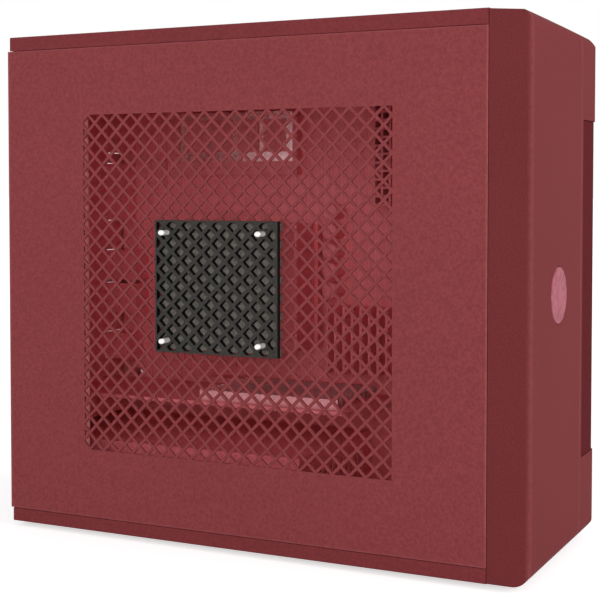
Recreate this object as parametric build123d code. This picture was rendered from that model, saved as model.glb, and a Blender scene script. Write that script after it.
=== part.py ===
from build123d import *
import os
from math import cos, pi, sin

# Upright firewall appliance: a small steel computer case with a perforated side panel.
# Frame: millimetres, +Z up, front bezel towards -Y, perforated side panel towards -X.
# Origin: on the surface the feet stand on, below the middle of the overall box. The sub-parts are
# worked out about the middle of the case, and save() shifts them all by the same small step.

# ---------------------------------------------------------------- driving dimensions
case_width = 112.0        # X, over both side panels
case_depth = 266.0        # Y, bezel face to the rear edge of the side panels
case_height = 240.0       # Z, without the feet
sheet = 1.0               # steel sheet of the casing
panel_gap = 0.3           # open line between a side panel and its neighbours
slip = 0.3                # gap between separate pieces that don't touch
run_fit = 0.04            # radial gap of a shaft or plunger in its bore

foot_height = 2.5
foot_radius = 7.0
foot_inset = 12.0         # outside of a foot from the side of the case
foot_front_y = -95.0
foot_rear_y = 108.0

bezel_depth = 18.7        # bezel face to the seam
bezel_wall = 2.5
bezel_round_depth = 8.0   # top and bottom edges of the bezel: half axes of the rounding
bezel_round_height = 8.0
bezel_far_radius = 8.0    # vertical edge on the far side
bezel_near_radius = 1.5   # vertical edge beside the perforated panel
bezel_corner_width = 28.0 # lower far corner seen from the front, at the bezel's face: half axes
bezel_corner_height = 10.0
bezel_crown_width = 20.0  # upper far corner
bezel_crown_height = 11.0
bezel_corner_seam = 1.0   # half axis of the same corners at the seam
bezel_near_fall = 1.5     # the top edge falls this much from the seam to the face, near the perforated side
bezel_far_fall = 4.0      # and this much on the far side
bezel_corner_least = 0.3
bezel_drop = 0.4          # bezel lies this much inside the top and the bottom
strip_x = 24.4            # seam between the bezel and its side strip
strip_seam = 0.4

insert_bottom = 40.0      # dark inset in the side strip, heights above the case bottom
insert_top = 197.5
insert_near = 2.6         # from the strip's seam
insert_rear = 3.7         # from the strip's rear edge
insert_sunk = 0.6
insert_fit = 0.2
insert_back = 1.5         # thickness of the lip behind the strip
insert_lip = 2.0

band_bottom = 6.5         # height of the bottom tray's lips
band_top = 6.7            # height of the top cover's lips
bend_radius = 0.8
panel_overhang = 1.3      # side panels reach past the rear wall
panel_hem = 7.5           # folded long edges of a side panel
hem_from_rear = 15.0      # hems stop this far from the rear wall, to leave room for the slide
near_flange = 17.0        # rear fold of the perforated panel
far_flange = 11.0         # rear fold of the plain panel
frame_margin = 3.0        # clear border between the panel frame and the perforated field
frame_step = 10.0         # the panel frame stops this short of the panel's ends at the rear
stiffener_sheet = 0.8     # upright rib beside the perforated field
stiffener_reach = 2.7     # how far the rib's web stands behind the panel frame
stiffener_foot = 10.0     # width of the rib's welded foot
stiffener_overrun = 8.0   # how far the foot runs past the perforated field
stiffener_gap = 0.3       # from the perforated field to the rib

thumb_radius = 1.9
thumb_head_radius = 4.0
thumb_head = 5.0
thumb_shank = 7.0
hook_thickness = 2.0      # snap hooks of the bezel
hook_width = 10.0
hook_reach = 5.0
hook_barb = 0.8
hook_from_end = 24.0      # centre from the bottom and from the top of the case
cover_flange = 10.0
cover_screw_x = (-35.0, 35.0)
near_thumb_x = 10.0       # thumb screws from the perforated panel's face
far_thumb_x = 6.5         # and from the plain panel's
vent_hole_radius = 2.0    # round vents of the rear wall
vent_hole_pitch = 6.0
vent_columns = 3
vent_rows = 22
vent_bottom = 90.0        # lowest row above the case bottom
vent_from_ports = 7.0
intake_width = 3.0        # air slots of the front wall, behind the side strip
intake_height = 34.0
intake_pitch = 6.0
intake_count = 3
intake_from_strip = 9.0
intake_bottoms = (74.0, 122.0)  # above the case bottom

mesh_pitch = 8.06         # diagonal pitch of the square holes, which stand on a corner
mesh_cells = 20
mesh_hole = 4.4           # side of a square hole in the panel
mesh_front = 61.5         # front border of the window from the bezel face
mesh_bottom = 39.7        # lower border of the window above the case bottom
mesh_rear_cut = 1.4       # the holes stop this far inside the last pitch at the rear
mesh_rim = 0.8            # least metal between a cut hole and a border
guard_cells_y = 7.93      # fan guard, in lattice pitches
guard_cells_z = 7.6
guard_at_y = 6.67         # its corner in the lattice, from the window's front lower corner
guard_at_z = 6.2

guard_thickness = 2.8     # the guard stands this far out of the panel
guard_overlap = 1.2       # and laps over the panel round its cut-out
guard_hole = 4.0          # side of a square hole in the guard
filter_thickness = 2.0
filter_inset = 0.3        # filter edge inside the guard's outline
fan_side = 60.0
fan_depth = 15.0
fan_duct_radius = 28.5
fan_hub_radius = 13.5
fan_hole_pitch = 50.0
fan_blades = 7
fan_base = 2.0            # plate and struts behind the rotor
bearing_radius = 2.5
bearing_wall = 1.2
shaft_radius = 1.25
rotor_gap = 1.2           # rotor behind the frame's open face
cup_wall = 1.5
screw_radius = 1.5
screw_clear = 0.2
guard_screw_radius = 1.2
screw_proud = 7.0         # guard screws stand out of the guard
screw_head = 2.2
screw_head_lap = 1.5
screw_land = 1.0          # metal left round a guard screw

button_height = 119.0     # centre above the case bottom
button_from_side = 41.2   # centre from the perforated panel's face
button_radius = 12.5
button_fit = 0.25
button_proud = 0.4
button_flange = 1.7
button_travel = 1.5
button_stem_radius = 3.0
button_plate = 1.5
plunger_radius = 2.0
switch_side = 14.0
switch_depth = 8.0
switch_floor = 2.0
plunger_reach = 3.0       # plunger out of the switch at rest

tray_x = 46.0             # near face of the board tray
tray_foot = 8.0
standoff_length = 6.5
standoff_radius = 3.0
pcb = 1.6
board_side = 170.0
board_bottom = 57.0       # above the case bottom
board_rear_gap = 2.7      # board edge to the rear wall
board_hole_y = (10.2, 165.1)    # from the rear edge
board_hole_z = (6.4, 163.8)     # from the bottom edge
board_hole_radius = 1.7

shield_height = 158.75    # rear aperture for the ports
shield_width = 44.45
shield_from_board = 11.0  # lower end above the board's bottom edge
shield_sheet = 0.8
shield_lap = 1.5
port_fit = 0.3
port_proud = 0.8          # port faces beyond the rear wall

psu_width = 81.5
psu_length = 150.0
psu_height = 40.5
psu_sheet = 0.8
psu_x = -39.0             # near side
psu_fan_side = 38.0
psu_fan_depth = 12.0
psu_fan_duct_radius = 17.0
psu_fan_hub_radius = 8.5
psu_fan_x = 20.5
psu_fan_hole_pitch = 32.0
inlet_width = 20.0
inlet_height = 27.5
inlet_x = -24.0
inlet_length = 22.0
inlet_wall = 2.7
inlet_floor = 4.0
rocker_width = 13.0
rocker_height = 19.0
rocker_x = -6.0
rocker_frame_wall = 1.5
rocker_body = 12.0
rocker_pivot_radius = 1.0
rocker_pivot_depth = 2.0  # pivot in front of the supply's rear plate
rocker_tilt = 8.0         # either way from square

card_height = 61.0        # lower face of the card above the case bottom
card_near_x = -30.0
card_length = 166.0
card_slot_length = 85.0
card_slot_front = 18.0    # from the card's front end
bracket_width = 19.0
jack_width = 16.0
jack_height = 13.5
jack_length = 21.0
jack_cavity_width = 11.8
jack_cavity_height = 8.2
jack_cavity_depth = 14.0
jack_gap = 1.0            # between two jacks on the card
usb_places = [(12.0, 14.0, 15.6)]     # centre from the aperture's lower end, width, height
usb_length = 17.0
lan_places = [(38.0, jack_width, jack_height), (56.0, jack_width, jack_height)]
video_place = (96.0, 31.0, 12.5)
serial_place = (133.0, 31.0, 12.5)
slot_height = 11.0        # the card's socket above the main board
slot_half = 3.7           # half the socket's thickness
slot_depth = 7.0          # how far the card's tab goes in
slot_wall = 1.5
slot_fit = 0.05
cooler_length = 74.0      # cooler on the card
cooler_base = 1.5
cooler_height = 5.0
cooler_inset = 4.0        # from the card's edges
cooler_far_x = 22.0
cooler_fins = 10

drive_width = 69.85
drive_height = 100.0
drive_thickness = 9.5
drive_x = -28.0
drive_bottom = 95.0
drive_off_wall = 6.0
drive_screw_from_back = 3.5

heatsink_side = 64.0
heatsink_height = 26.0
heatsink_base = 5.0
heatsink_y = 36.0
heatsink_z = 116.0
fin_pitch = 4.2
fin_thickness = 1.4
socket_side = 42.0
socket_height = 3.5

memory_length = 67.6
memory_width = 30.0
memory_y = 54.0
memory_z = 176.0
memory_stand = 4.0

# ---------------------------------------------------------------- derived places
left_x = -case_width / 2
right_x = case_width / 2
front_y = -case_depth / 2
panel_rear_y = case_depth / 2
base_z = foot_height
top_z = base_z + case_height
seam_y = front_y + bezel_depth                  # rear edge of the bezel
wall_front_y = seam_y + slip                    # outer face of the front wall
wall_rear_y = panel_rear_y - panel_overhang     # outer face of the rear wall
inner_rear_y = wall_rear_y - sheet
floor_z = base_z + sheet
ceiling_z = top_z - sheet
panel_low_z = base_z + band_bottom + panel_gap
panel_high_z = top_z - band_top - panel_gap
board_x = tray_x - standoff_length - pcb        # near face of the main board
board_rear_y = inner_rear_y - board_rear_gap
board_low_z = base_z + board_bottom
shield_low_z = board_low_z + shield_from_board
shield_far_x = board_x + pcb + 1.0
port_face_y = wall_rear_y + port_proud
card_z = base_z + card_height
fan_hole_radius = screw_radius + screw_clear
thumb_z = (base_z + 0.2 * case_height, base_z + 0.8 * case_height)
mesh_y0 = front_y + mesh_front
mesh_z0 = base_z + mesh_bottom
mesh_side = mesh_pitch * mesh_cells
mesh_y1 = mesh_y0 + mesh_side - mesh_rear_cut
guard_y0 = mesh_y0 + guard_at_y * mesh_pitch
guard_z0 = mesh_z0 + guard_at_z * mesh_pitch
guard_y1 = guard_y0 + guard_cells_y * mesh_pitch
guard_z1 = guard_z0 + guard_cells_z * mesh_pitch
guard_y = (guard_y0 + guard_y1) / 2
guard_z = (guard_z0 + guard_z1) / 2
guard_front_x = left_x - guard_thickness
filter_x = left_x + sheet
filter_back_x = filter_x + filter_thickness
button_x = left_x + button_from_side
button_z = base_z + button_height
switch_front_y = wall_front_y - switch_depth
plunger_front_y = switch_front_y - plunger_reach
card_rear_y = inner_rear_y - shield_sheet - slip
card_front_y = card_rear_y - card_length
slot_top_x = board_x - slot_height
slot_y0 = card_front_y + card_slot_front
slot_mid_z = card_z + pcb / 2
psu_y0 = inner_rear_y - psu_length
psu_back_y = inner_rear_y - psu_sheet           # inner face of the supply's rear plate
psu_top_z = floor_z + psu_height
psu_mid_z = floor_z + psu_height / 2
psu_far_x = psu_x + psu_width
rocker_pivot_y = psu_back_y - rocker_pivot_depth
drive_back_y = wall_front_y + sheet + drive_off_wall
drive_screw_y = drive_back_y + drive_screw_from_back
drive_z = base_z + drive_bottom
bracket_screw_x = card_near_x - 4.5
bracket_z = card_z - jack_height / 2 + 1.0
cover_screw_z = ceiling_z - cover_flange / 2
to_origin = Pos((screw_proud + guard_thickness) / 2, (button_proud - thumb_head) / 2, 0)


# ---------------------------------------------------------------- small tools
def block(x0, x1, y0, y1, z0, z1):
    """A box between two corners."""
    size = (x1 - x0, y1 - y0, z1 - z0)
    centre = ((x0 + x1) / 2, (y0 + y1) / 2, (z0 + z1) / 2)
    return Pos(*centre) * Box(*size)


def rod_x(radius, x0, x1, y, z):
    """A round bar along X."""
    return Pos((x0 + x1) / 2, y, z) * Rot(0, 90, 0) * Cylinder(radius, x1 - x0)


def rod_y(radius, y0, y1, x, z):
    """A round bar along Y."""
    return Pos(x, (y0 + y1) / 2, z) * Rot(90, 0, 0) * Cylinder(radius, y1 - y0)


def rod_z(radius, z0, z1, x, y):
    """A round bar along Z."""
    return Pos(x, y, (z0 + z1) / 2) * Cylinder(radius, z1 - z0)


def save(name, *pieces, flat_faces=False):
    """Writes one sub-part: a single piece, or a group of like pieces kept as separate solids."""
    solids = [to_origin * solid for piece in pieces for solid in piece.solids()]
    shape = solids[0] if len(solids) == 1 else Compound(children=solids)
    shape.label = name
    export_step(shape, f"parts/{name}.step", write_pcurves=not flat_faces)


# ---------------------------------------------------------------- lattice
def trim(points, axis, limit, below):
    """Cuts a convex outline at a straight line and keeps the side below or above it."""
    def inside(point):
        return point[axis] <= limit if below else point[axis] >= limit

    kept = []
    for here, there in zip(points, points[1:] + points[:1]):
        if inside(here):
            kept.append(here)
        if inside(here) != inside(there):
            share = (limit - here[axis]) / (there[axis] - here[axis])
            kept.append(tuple(a + share * (b - a) for a, b in zip(here, there)))
    return kept


def outline_area(points):
    pairs = zip(points, points[1:] + points[:1])
    return abs(sum(a[0] * b[1] - b[0] * a[1] for a, b in pairs)) / 2


def lattice(hole):
    """Outlines of the square holes on a corner, in (y, z), over the whole window."""
    reach = hole / 2 ** 0.5
    steps = 2 * mesh_cells + 1
    for row in range(steps):
        for column in range(steps):
            if (row + column) % 2 == 0:
                y = mesh_y0 + column * mesh_pitch / 2
                z = mesh_z0 + row * mesh_pitch / 2
                yield (y, z), [(y - reach, z), (y, z - reach), (y + reach, z), (y, z + reach)]


def cut_to_box(points, y0, y1, z0, z1):
    for axis, limit, below in ((0, y1, True), (0, y0, False), (1, z1, True), (1, z0, False)):
        if points:
            points = trim(points, axis, limit, below)
    return points


def kept_outlines(outlines, hole):
    least = hole ** 2 / 8
    return [points for points in outlines if len(points) > 2 and outline_area(points) > least]


def corners(y0, y1, z0, z1):
    return [(y0, z0), (y1, z0), (y1, z1), (y0, z1)]


def fan_cutout():
    """Corners of the panel's cut-out in front of the fan, which the guard laps over."""
    return corners(guard_y0 + guard_overlap, guard_y1 - guard_overlap, guard_z0 + guard_overlap,
                   guard_z1 - guard_overlap)


def panel_holes():
    """Holes of the side panel: cut at the window's border and round the fan's cut-out."""
    (y0, z0), _, (y1, z1), _ = fan_cutout()
    found = []
    for (y, z), points in lattice(mesh_hole):
        points = cut_to_box(points, mesh_y0, mesh_y1, mesh_z0, mesh_z0 + mesh_side)
        outside = {
            (0, y0 - mesh_rim, True): y0 - y,
            (0, y1 + mesh_rim, False): y - y1,
            (1, z0 - mesh_rim, True): z0 - z,
            (1, z1 + mesh_rim, False): z - z1,
        }
        cut, distance = max(outside.items(), key=lambda item: item[1])
        if distance > -mesh_pitch / 2:
            found.append(trim(points, *cut))
    return kept_outlines(found, mesh_hole)


def guard_screw_places():
    half = fan_hole_pitch / 2
    return [(guard_y + a * half, guard_z + b * half) for a in (-1, 1) for b in (-1, 1)]


def guard_holes():
    """Holes of the fan guard, in line with the panel's."""
    border = (guard_y0 + mesh_rim, guard_y1 - mesh_rim, guard_z0 + mesh_rim, guard_z1 - mesh_rim)
    found = [cut_to_box(points, *border) for place, points in lattice(guard_hole)]
    return kept_outlines(found, guard_hole)


def ring_wire(points, x):
    return Wire.make_polygon([Vector(x, y, z) for y, z in points], close=True)


def perforated(border, x, thickness, outlines):
    """A flat plate from x inwards, with straight holes."""
    face = Face(ring_wire(border, x), [ring_wire(points, x) for points in outlines])
    return extrude(face, thickness, dir=(1, 0, 0))


# ---------------------------------------------------------------- casing
def rear_port_cutout():
    return block(
        shield_far_x - shield_width, shield_far_x, inner_rear_y, wall_rear_y,
        shield_low_z, shield_low_z + shield_height,
    )


def card_cutout():
    return block(
        card_near_x - 0.5, card_near_x + 3 * (jack_width + jack_gap) + 2, inner_rear_y, wall_rear_y,
        card_z - jack_height - 0.5, card_z + 1.0,
    )


def psu_cutout():
    return block(
        inlet_x - inlet_width / 2 - 1.5, psu_fan_x + psu_fan_side / 2 + 0.5,
        inner_rear_y, wall_rear_y, floor_z + 2.0, floor_z + psu_height - 2.5,
    )


def rear_vent():
    """Rows of round vent holes beside the port shield."""
    x0 = shield_far_x - shield_width - shield_lap - vent_from_ports
    z0 = base_z + vent_bottom
    return [
        rod_y(vent_hole_radius, inner_rear_y, wall_rear_y, x0 - column * vent_hole_pitch,
              z0 + row * vent_hole_pitch)
        for column in range(vent_columns)
        for row in range(vent_rows)
    ]


def thumb_x(side):
    return left_x + near_thumb_x if side < 0 else right_x - far_thumb_x


def base_tray():
    """Bottom, front wall and rear wall bent from one sheet, with a lip up each long side."""
    floor = block(left_x, right_x, wall_front_y, wall_rear_y, base_z, floor_z)
    shape = floor + block(left_x, left_x + sheet, wall_front_y, wall_rear_y, base_z, base_z + band_bottom)
    shape += block(right_x - sheet, right_x, wall_front_y, wall_rear_y, base_z, base_z + band_bottom)
    low_edges = shape.edges().filter_by(Axis.Y).group_by(Axis.Z)[0]
    shape = fillet(low_edges, bend_radius)
    wall_x = right_x - 2 * sheet - slip
    front = block(-wall_x, wall_x, wall_front_y, wall_front_y + sheet, floor_z, ceiling_z)
    rear = block(-wall_x, wall_x, inner_rear_y, wall_rear_y, floor_z, ceiling_z)
    hook_slots = [
        block(x - hook_thickness / 2 - slip, x + hook_thickness / 2 + hook_barb + slip,
              wall_front_y, wall_front_y + sheet, z - hook_width / 2 - slip, z + hook_width / 2 + slip)
        for x, z in bezel_hooks()
    ]
    front = front - hook_slots - front_intake()
    thumb_holes = [
        rod_y(thumb_radius + screw_clear, inner_rear_y, wall_rear_y, thumb_x(side), z)
        for side in (-1, 1)
        for z in thumb_z
    ]
    bracket_hole = rod_y(fan_hole_radius, inner_rear_y, wall_rear_y, bracket_screw_x, bracket_z)
    openings = [rear_port_cutout(), card_cutout(), psu_cutout(), bracket_hole]
    rear = rear - (openings + rear_vent() + thumb_holes)
    return shape + front + rear - cover_screw_holes()


def bezel_hooks():
    """Places of the snap hooks, as (x, z): two pairs on the bezel and two on its side strip."""
    columns = (left_x + 4.8, strip_x - 5.0, strip_x + 5.0, right_x - 5.6)
    return [(x, z) for x in columns for z in (base_z + hook_from_end, top_z - hook_from_end)]


def front_intake():
    """Upright air slots in the front wall, behind the bezel's side strip."""
    columns = [strip_x + intake_from_strip + step * intake_pitch for step in range(intake_count)]
    rows = [base_z + bottom for bottom in intake_bottoms]
    return [
        block(x, x + intake_width, wall_front_y, wall_front_y + sheet, z, z + intake_height)
        for x in columns
        for z in rows
    ]


def cover_screw_holes():
    """Holes through the front and rear walls and the top cover's flanges."""
    return [
        rod_y(fan_hole_radius, y - 3 * sheet, y + 3 * sheet, x, cover_screw_z)
        for y in (wall_front_y, wall_rear_y)
        for x in cover_screw_x
    ]


def top_cover():
    """Top sheet with a lip down each long side and a flange inside each end wall."""
    top = block(left_x, right_x, wall_front_y, wall_rear_y, ceiling_z, top_z)
    for x in (left_x, right_x - sheet):
        top += block(x, x + sheet, wall_front_y, wall_rear_y, top_z - band_top, top_z)
    top = fillet(top.edges().filter_by(Axis.Y).group_by(Axis.Z)[-1], bend_radius)
    flange_x = right_x - near_flange + 3.0
    for y in (wall_front_y + sheet, inner_rear_y - sheet):
        top += block(-flange_x, flange_x, y, y + sheet, ceiling_z - cover_flange, ceiling_z)
    return top - cover_screw_holes()


def cover_screw(y, direction, x):
    """Flat-headed screw through a wall and the flange behind it; direction is towards the head."""
    head, shank = 1.4, 2 * sheet + 1.5
    shape = rod_y(screw_radius + 1.4, min(y, y + direction * head), max(y, y + direction * head), x,
                  cover_screw_z)
    return shape + rod_y(screw_radius, min(y, y - direction * shank), max(y, y - direction * shank),
                         x, cover_screw_z)


def foot(x, y):
    """Round rubber foot with a bevelled rim."""
    shape = rod_z(foot_radius, 0, foot_height, x, y)
    return chamfer(shape.edges().sort_by(Axis.Z)[0], foot_height / 4)


# ---------------------------------------------------------------- side panels
def mesh_side_panel():
    """Flat perforated sheet with the cut-out for the fan guard."""
    border = corners(wall_front_y, panel_rear_y, panel_low_z, panel_high_z)
    return perforated(border, left_x, sheet, panel_holes() + [fan_cutout()])


def panel_folds(side, flange):
    """Hems along the top and bottom of a side panel and the fold across its rear."""
    inner_x = side * (right_x - sheet)
    hem_end, fold_end = inner_x - side * panel_hem, side * (right_x - flange)
    hem_y0, hem_y1 = wall_front_y + 2 * sheet + slip, inner_rear_y - hem_from_rear
    folds = [
        block(min(inner_x, hem_end), max(inner_x, hem_end), hem_y0, hem_y1, z, z + sheet)
        for z in (panel_low_z, panel_high_z - sheet)
    ]
    fold = block(min(inner_x, fold_end), max(inner_x, fold_end), panel_rear_y - sheet,
                 panel_rear_y, panel_low_z, panel_high_z)
    holes = [rod_y(thumb_radius, panel_rear_y - sheet, panel_rear_y, thumb_x(side), z) for z in thumb_z]
    return folds + [fold - holes]


def panel_frame():
    """Folded frame spot-welded inside the perforated sheet: hems, rear fold and a flat margin."""
    x0, x1 = left_x + sheet, left_x + 2 * sheet
    hem_y0, hem_y1 = wall_front_y + 2 * sheet + slip, inner_rear_y - hem_from_rear
    flat = block(x0, x1, hem_y0, hem_y1, panel_low_z, panel_high_z)
    flat += block(x0, x1, hem_y1, panel_rear_y, panel_low_z + frame_step, panel_high_z - frame_step)
    flat -= block(x0, x1, mesh_y0 - frame_margin, mesh_y0 + mesh_side + frame_margin,
                  mesh_z0 - frame_margin, mesh_z0 + mesh_side + frame_margin)
    return flat + panel_folds(-1, near_flange)


def plain_side_panel():
    """Closed sheet with the same hems and rear fold."""
    face = block(right_x - sheet, right_x, wall_front_y, panel_rear_y, panel_low_z, panel_high_z)
    return face + panel_folds(1, far_flange)


def thumb_screw(side, z):
    """Captive thumb screw: waisted shank, knurled head outside the panel's rear fold."""
    x = thumb_x(side)
    head = rod_y(thumb_head_radius, panel_rear_y, panel_rear_y + thumb_head, x, z)
    head = chamfer(head.edges().filter_by(GeomType.CIRCLE), 0.5)
    flutes, flute_radius, reach = 16, 0.45, thumb_head_radius + 0.1
    angles = [2 * pi * step / flutes for step in range(flutes)]
    head -= [
        rod_y(flute_radius, panel_rear_y + 1.0, panel_rear_y + thumb_head,
              x + reach * cos(angle), z + reach * sin(angle))
        for angle in angles
    ]
    return head + rod_y(thumb_radius, panel_rear_y - thumb_shank, panel_rear_y, x, z)


def panel_stiffener():
    """Bare upright rib spot-welded inside the panel's frame, along the window's rear border."""
    x0 = left_x + 2 * sheet
    x1 = x0 + stiffener_reach
    y0 = mesh_y1 + stiffener_gap
    y1 = y0 + stiffener_sheet
    z0, z1 = mesh_z0 - stiffener_overrun, mesh_z0 + mesh_side + stiffener_overrun
    web = block(left_x + sheet, x1, y0, y1, mesh_z0, mesh_z0 + mesh_side) + block(x0, x1, y0, y1, z0, z1)
    return web + block(x0, x0 + stiffener_sheet, y0, y0 + stiffener_foot, z0, z1)


# ---------------------------------------------------------------- panel fan
def fan_guard():
    """Black perforated plate that lies on the panel's face and laps over its cut-out."""
    border = corners(guard_y0, guard_y1, guard_z0, guard_z1)
    plate = perforated(border, guard_front_x, guard_thickness, guard_holes())
    land_radius = guard_screw_radius + screw_land
    plate += [rod_x(land_radius, guard_front_x, left_x, y, z) for y, z in guard_screw_places()]
    return plate - [rod_x(guard_screw_radius, guard_front_x, left_x, y, z) for y, z in guard_screw_places()]


def guard_filter():
    """Grey dust filter sheet clamped between the panel and the fan."""
    shape = block(
        filter_x, filter_back_x, guard_y0 + filter_inset, guard_y1 - filter_inset,
        guard_z0 + filter_inset, guard_z1 - filter_inset,
    )
    return shape - [rod_x(fan_hole_radius, filter_x, filter_back_x, y, z) for y, z in guard_screw_places()]


def guard_screw(y, z):
    """Long bright screw: head on the fan's ear, end standing out through the guard."""
    ear_x = filter_back_x + fan_depth
    shank = rod_x(guard_screw_radius, guard_front_x - screw_proud, ear_x, y, z)
    shank = chamfer(shank.edges().filter_by(GeomType.CIRCLE).sort_by(Axis.X)[0], 0.4)
    head = rod_x(fan_hole_radius + screw_head_lap, ear_x, ear_x + screw_head, y, z)
    return shank + fillet(head.edges().filter_by(GeomType.CIRCLE).sort_by(Axis.X)[-1], 1.0)


def fan_frame(side, depth, duct_radius, hub_radius, hole_pitch):
    """Square fan frame along +Z with a motor base, four struts and a bearing tube."""
    middle = Pos(0, 0, depth / 2)
    shape = middle * Box(side, side, depth)
    shape = fillet(shape.edges().filter_by(Axis.Z), side / 20)
    shape -= middle * Cylinder(duct_radius, depth)
    half = hole_pitch / 2
    for a in (-1, 1):
        for b in (-1, 1):
            shape -= Pos(a * half, b * half, depth / 2) * Cylinder(fan_hole_radius, depth)
    base = Pos(0, 0, depth - fan_base / 2)
    strut = Box(2 * duct_radius + 1.0, 3.0, fan_base)
    shape += base * Cylinder(hub_radius, fan_base)
    shape += base * strut + base * Rot(0, 0, 90) * strut
    tube_length = depth - fan_base - rotor_gap - cup_wall - 2.0
    tube = Pos(0, 0, depth - fan_base - tube_length / 2)
    shape += tube * Cylinder(bearing_radius + bearing_wall, tube_length)
    bore = Pos(0, 0, depth - (fan_base + tube_length) / 2)
    return shape - bore * Cylinder(bearing_radius, fan_base + tube_length)


def fan_rotor(depth, duct_radius, hub_radius):
    """Hub cup and pitched blades, turning about Z."""
    length = depth - fan_base - rotor_gap - 0.8
    at = Pos(0, 0, rotor_gap + length / 2)
    cup = at * Cylinder(hub_radius, length)
    cup = fillet(cup.edges().filter_by(GeomType.CIRCLE).sort_by(Axis.Z)[0], 1.0)
    inner = length - cup_wall
    cup -= Pos(0, 0, rotor_gap + cup_wall + inner / 2) * Cylinder(hub_radius - cup_wall, inner)
    cup -= Pos(0, 0, rotor_gap + cup_wall / 2) * Cylinder(shaft_radius, cup_wall)
    tip = duct_radius - 1.0
    chord = 2 * pi * tip / fan_blades
    swept = at * Cylinder(tip, length) - at * Cylinder(hub_radius - 0.3, length)
    shape = cup
    for step in range(fan_blades):
        blade = Rot(0, 0, 360 * step / fan_blades) * at * Pos(tip / 2, 0, 0) * Rot(38, 0, 0)
        shape += (blade * Box(tip, chord, 1.3)) & swept
    return shape


def fan_shaft(depth):
    length = depth - rotor_gap - 0.5
    return Pos(0, 0, rotor_gap + length / 2) * Cylinder(shaft_radius, length)


def fan_bearing(depth):
    length = depth - fan_base - rotor_gap - cup_wall - 2.0
    ring = Cylinder(bearing_radius, length) - Cylinder(shaft_radius + run_fit, length)
    return Pos(0, 0, depth - fan_base - length / 2) * ring


# ---------------------------------------------------------------- bezel
def bezel_body(inset):
    """Solid outer form of the whole front, shrunk evenly by inset, open towards the rear."""
    y0, y1 = front_y + inset, seam_y
    z0, z1 = base_z + bezel_drop + inset, top_z - bezel_drop - inset
    a, b = bezel_round_depth - inset, bezel_round_height - inset
    points = [(y1, z0), (y0 + a, z0), (y0, z0 + b), (y0, z1 - b), (y0 + a, z1), (y1, z1)]
    at = [Vector(left_x + inset, y, z) for y, z in points]
    low_plane = Plane(origin=Vector(at[1].X, y0 + a, z0 + b), x_dir=(0, 1, 0), z_dir=(1, 0, 0))
    high_plane = Plane(origin=Vector(at[1].X, y0 + a, z1 - b), x_dir=(0, 1, 0), z_dir=(1, 0, 0))
    edges = [
        Edge.make_line(at[0], at[1]),
        Edge.make_ellipse(a, b, low_plane, 180, 270),
        Edge.make_line(at[2], at[3]),
        Edge.make_ellipse(a, b, high_plane, 90, 180),
        Edge.make_line(at[4], at[5]),
        Edge.make_line(at[5], at[0]),
    ]
    return extrude(Face(Wire(edges)), case_width - 2 * inset, dir=(1, 0, 0))


def upright_round(radius, x, side, inset):
    """What is cut away to round the bezel's upright front edge at x."""
    r = radius - inset
    y = front_y + inset
    cx, cy = x - side * r, y + r
    corner = block(min(cx, x + side), max(cx, x + side), y - 1.0, cy, base_z, top_z)
    return corner - rod_z(r, base_z, top_z, cx, cy)


def far_corner_section(y, low_corner, high_corner, near_fall, far_fall, inset):
    """Outline across the bezel at y: square at the near side, round at the far corners, its top falling."""
    x0, x1 = left_x + inset, right_x - inset
    z0, z1 = base_z + bezel_drop + inset, top_z - bezel_drop - inset
    (a, b), (c, d) = low_corner, high_corner
    z2 = z1 - far_fall
    points = [(x0, z0), (x1 - a, z0), (x1, z0 + b), (x1, z2 - d), (x1 - c, z2), (x0, z1 - near_fall)]
    at = [Vector(x, y, z) for x, z in points]
    low_plane = Plane(origin=Vector(x1 - a, y, z0 + b), x_dir=(1, 0, 0), z_dir=(0, -1, 0))
    high_plane = Plane(origin=Vector(x1 - c, y, z2 - d), x_dir=(1, 0, 0), z_dir=(0, -1, 0))
    return Wire([
        Edge.make_line(at[0], at[1]),
        Edge.make_ellipse(a, b, low_plane, 270, 360),
        Edge.make_line(at[2], at[3]),
        Edge.make_ellipse(c, d, high_plane, 0, 90),
        Edge.make_line(at[4], at[5]),
        Edge.make_line(at[5], at[0]),
    ])


def far_corners(inset):
    """Block whose far corners round off, and whose top falls, from the seam to the face."""
    def axes(width, height):
        return max(bezel_corner_least, width - inset), max(bezel_corner_least, height - inset)

    square = axes(bezel_corner_seam, bezel_corner_seam)
    seam = far_corner_section(seam_y, square, square, 0.0, 0.0, inset)
    face = far_corner_section(front_y, axes(bezel_corner_width, bezel_corner_height),
                              axes(bezel_crown_width, bezel_crown_height), bezel_near_fall, bezel_far_fall,
                              inset)
    return Solid.make_loft([seam, face], ruled=True)


def bezel_form(inset):
    shape = bezel_body(inset) & far_corners(inset)
    shape -= upright_round(bezel_far_radius, right_x - inset, 1, inset)
    if inset < bezel_near_radius:
        shape -= upright_round(bezel_near_radius, left_x + inset, -1, inset)
    return shape


def between(x0, x1, y0=front_y, y1=seam_y, z0=base_z, z1=top_z):
    return block(x0, x1, y0, y1, z0, z1)


def snap_hooks(x_low, x_high):
    """Hooks that reach back from the bezel's inner ribs through the front wall."""
    pieces = []
    for x, z in bezel_hooks():
        if x_low < x < x_high:
            x0, x1 = x - hook_thickness / 2, x + hook_thickness / 2
            z0, z1 = z - hook_width / 2, z + hook_width / 2
            pieces.append(block(x0, x1, front_y + bezel_wall, wall_front_y + hook_reach, z0, z1))
            barb_y = wall_front_y + sheet + slip
            pieces.append(block(x1, x1 + hook_barb, barb_y, wall_front_y + hook_reach, z0, z1))
    return pieces


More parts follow.
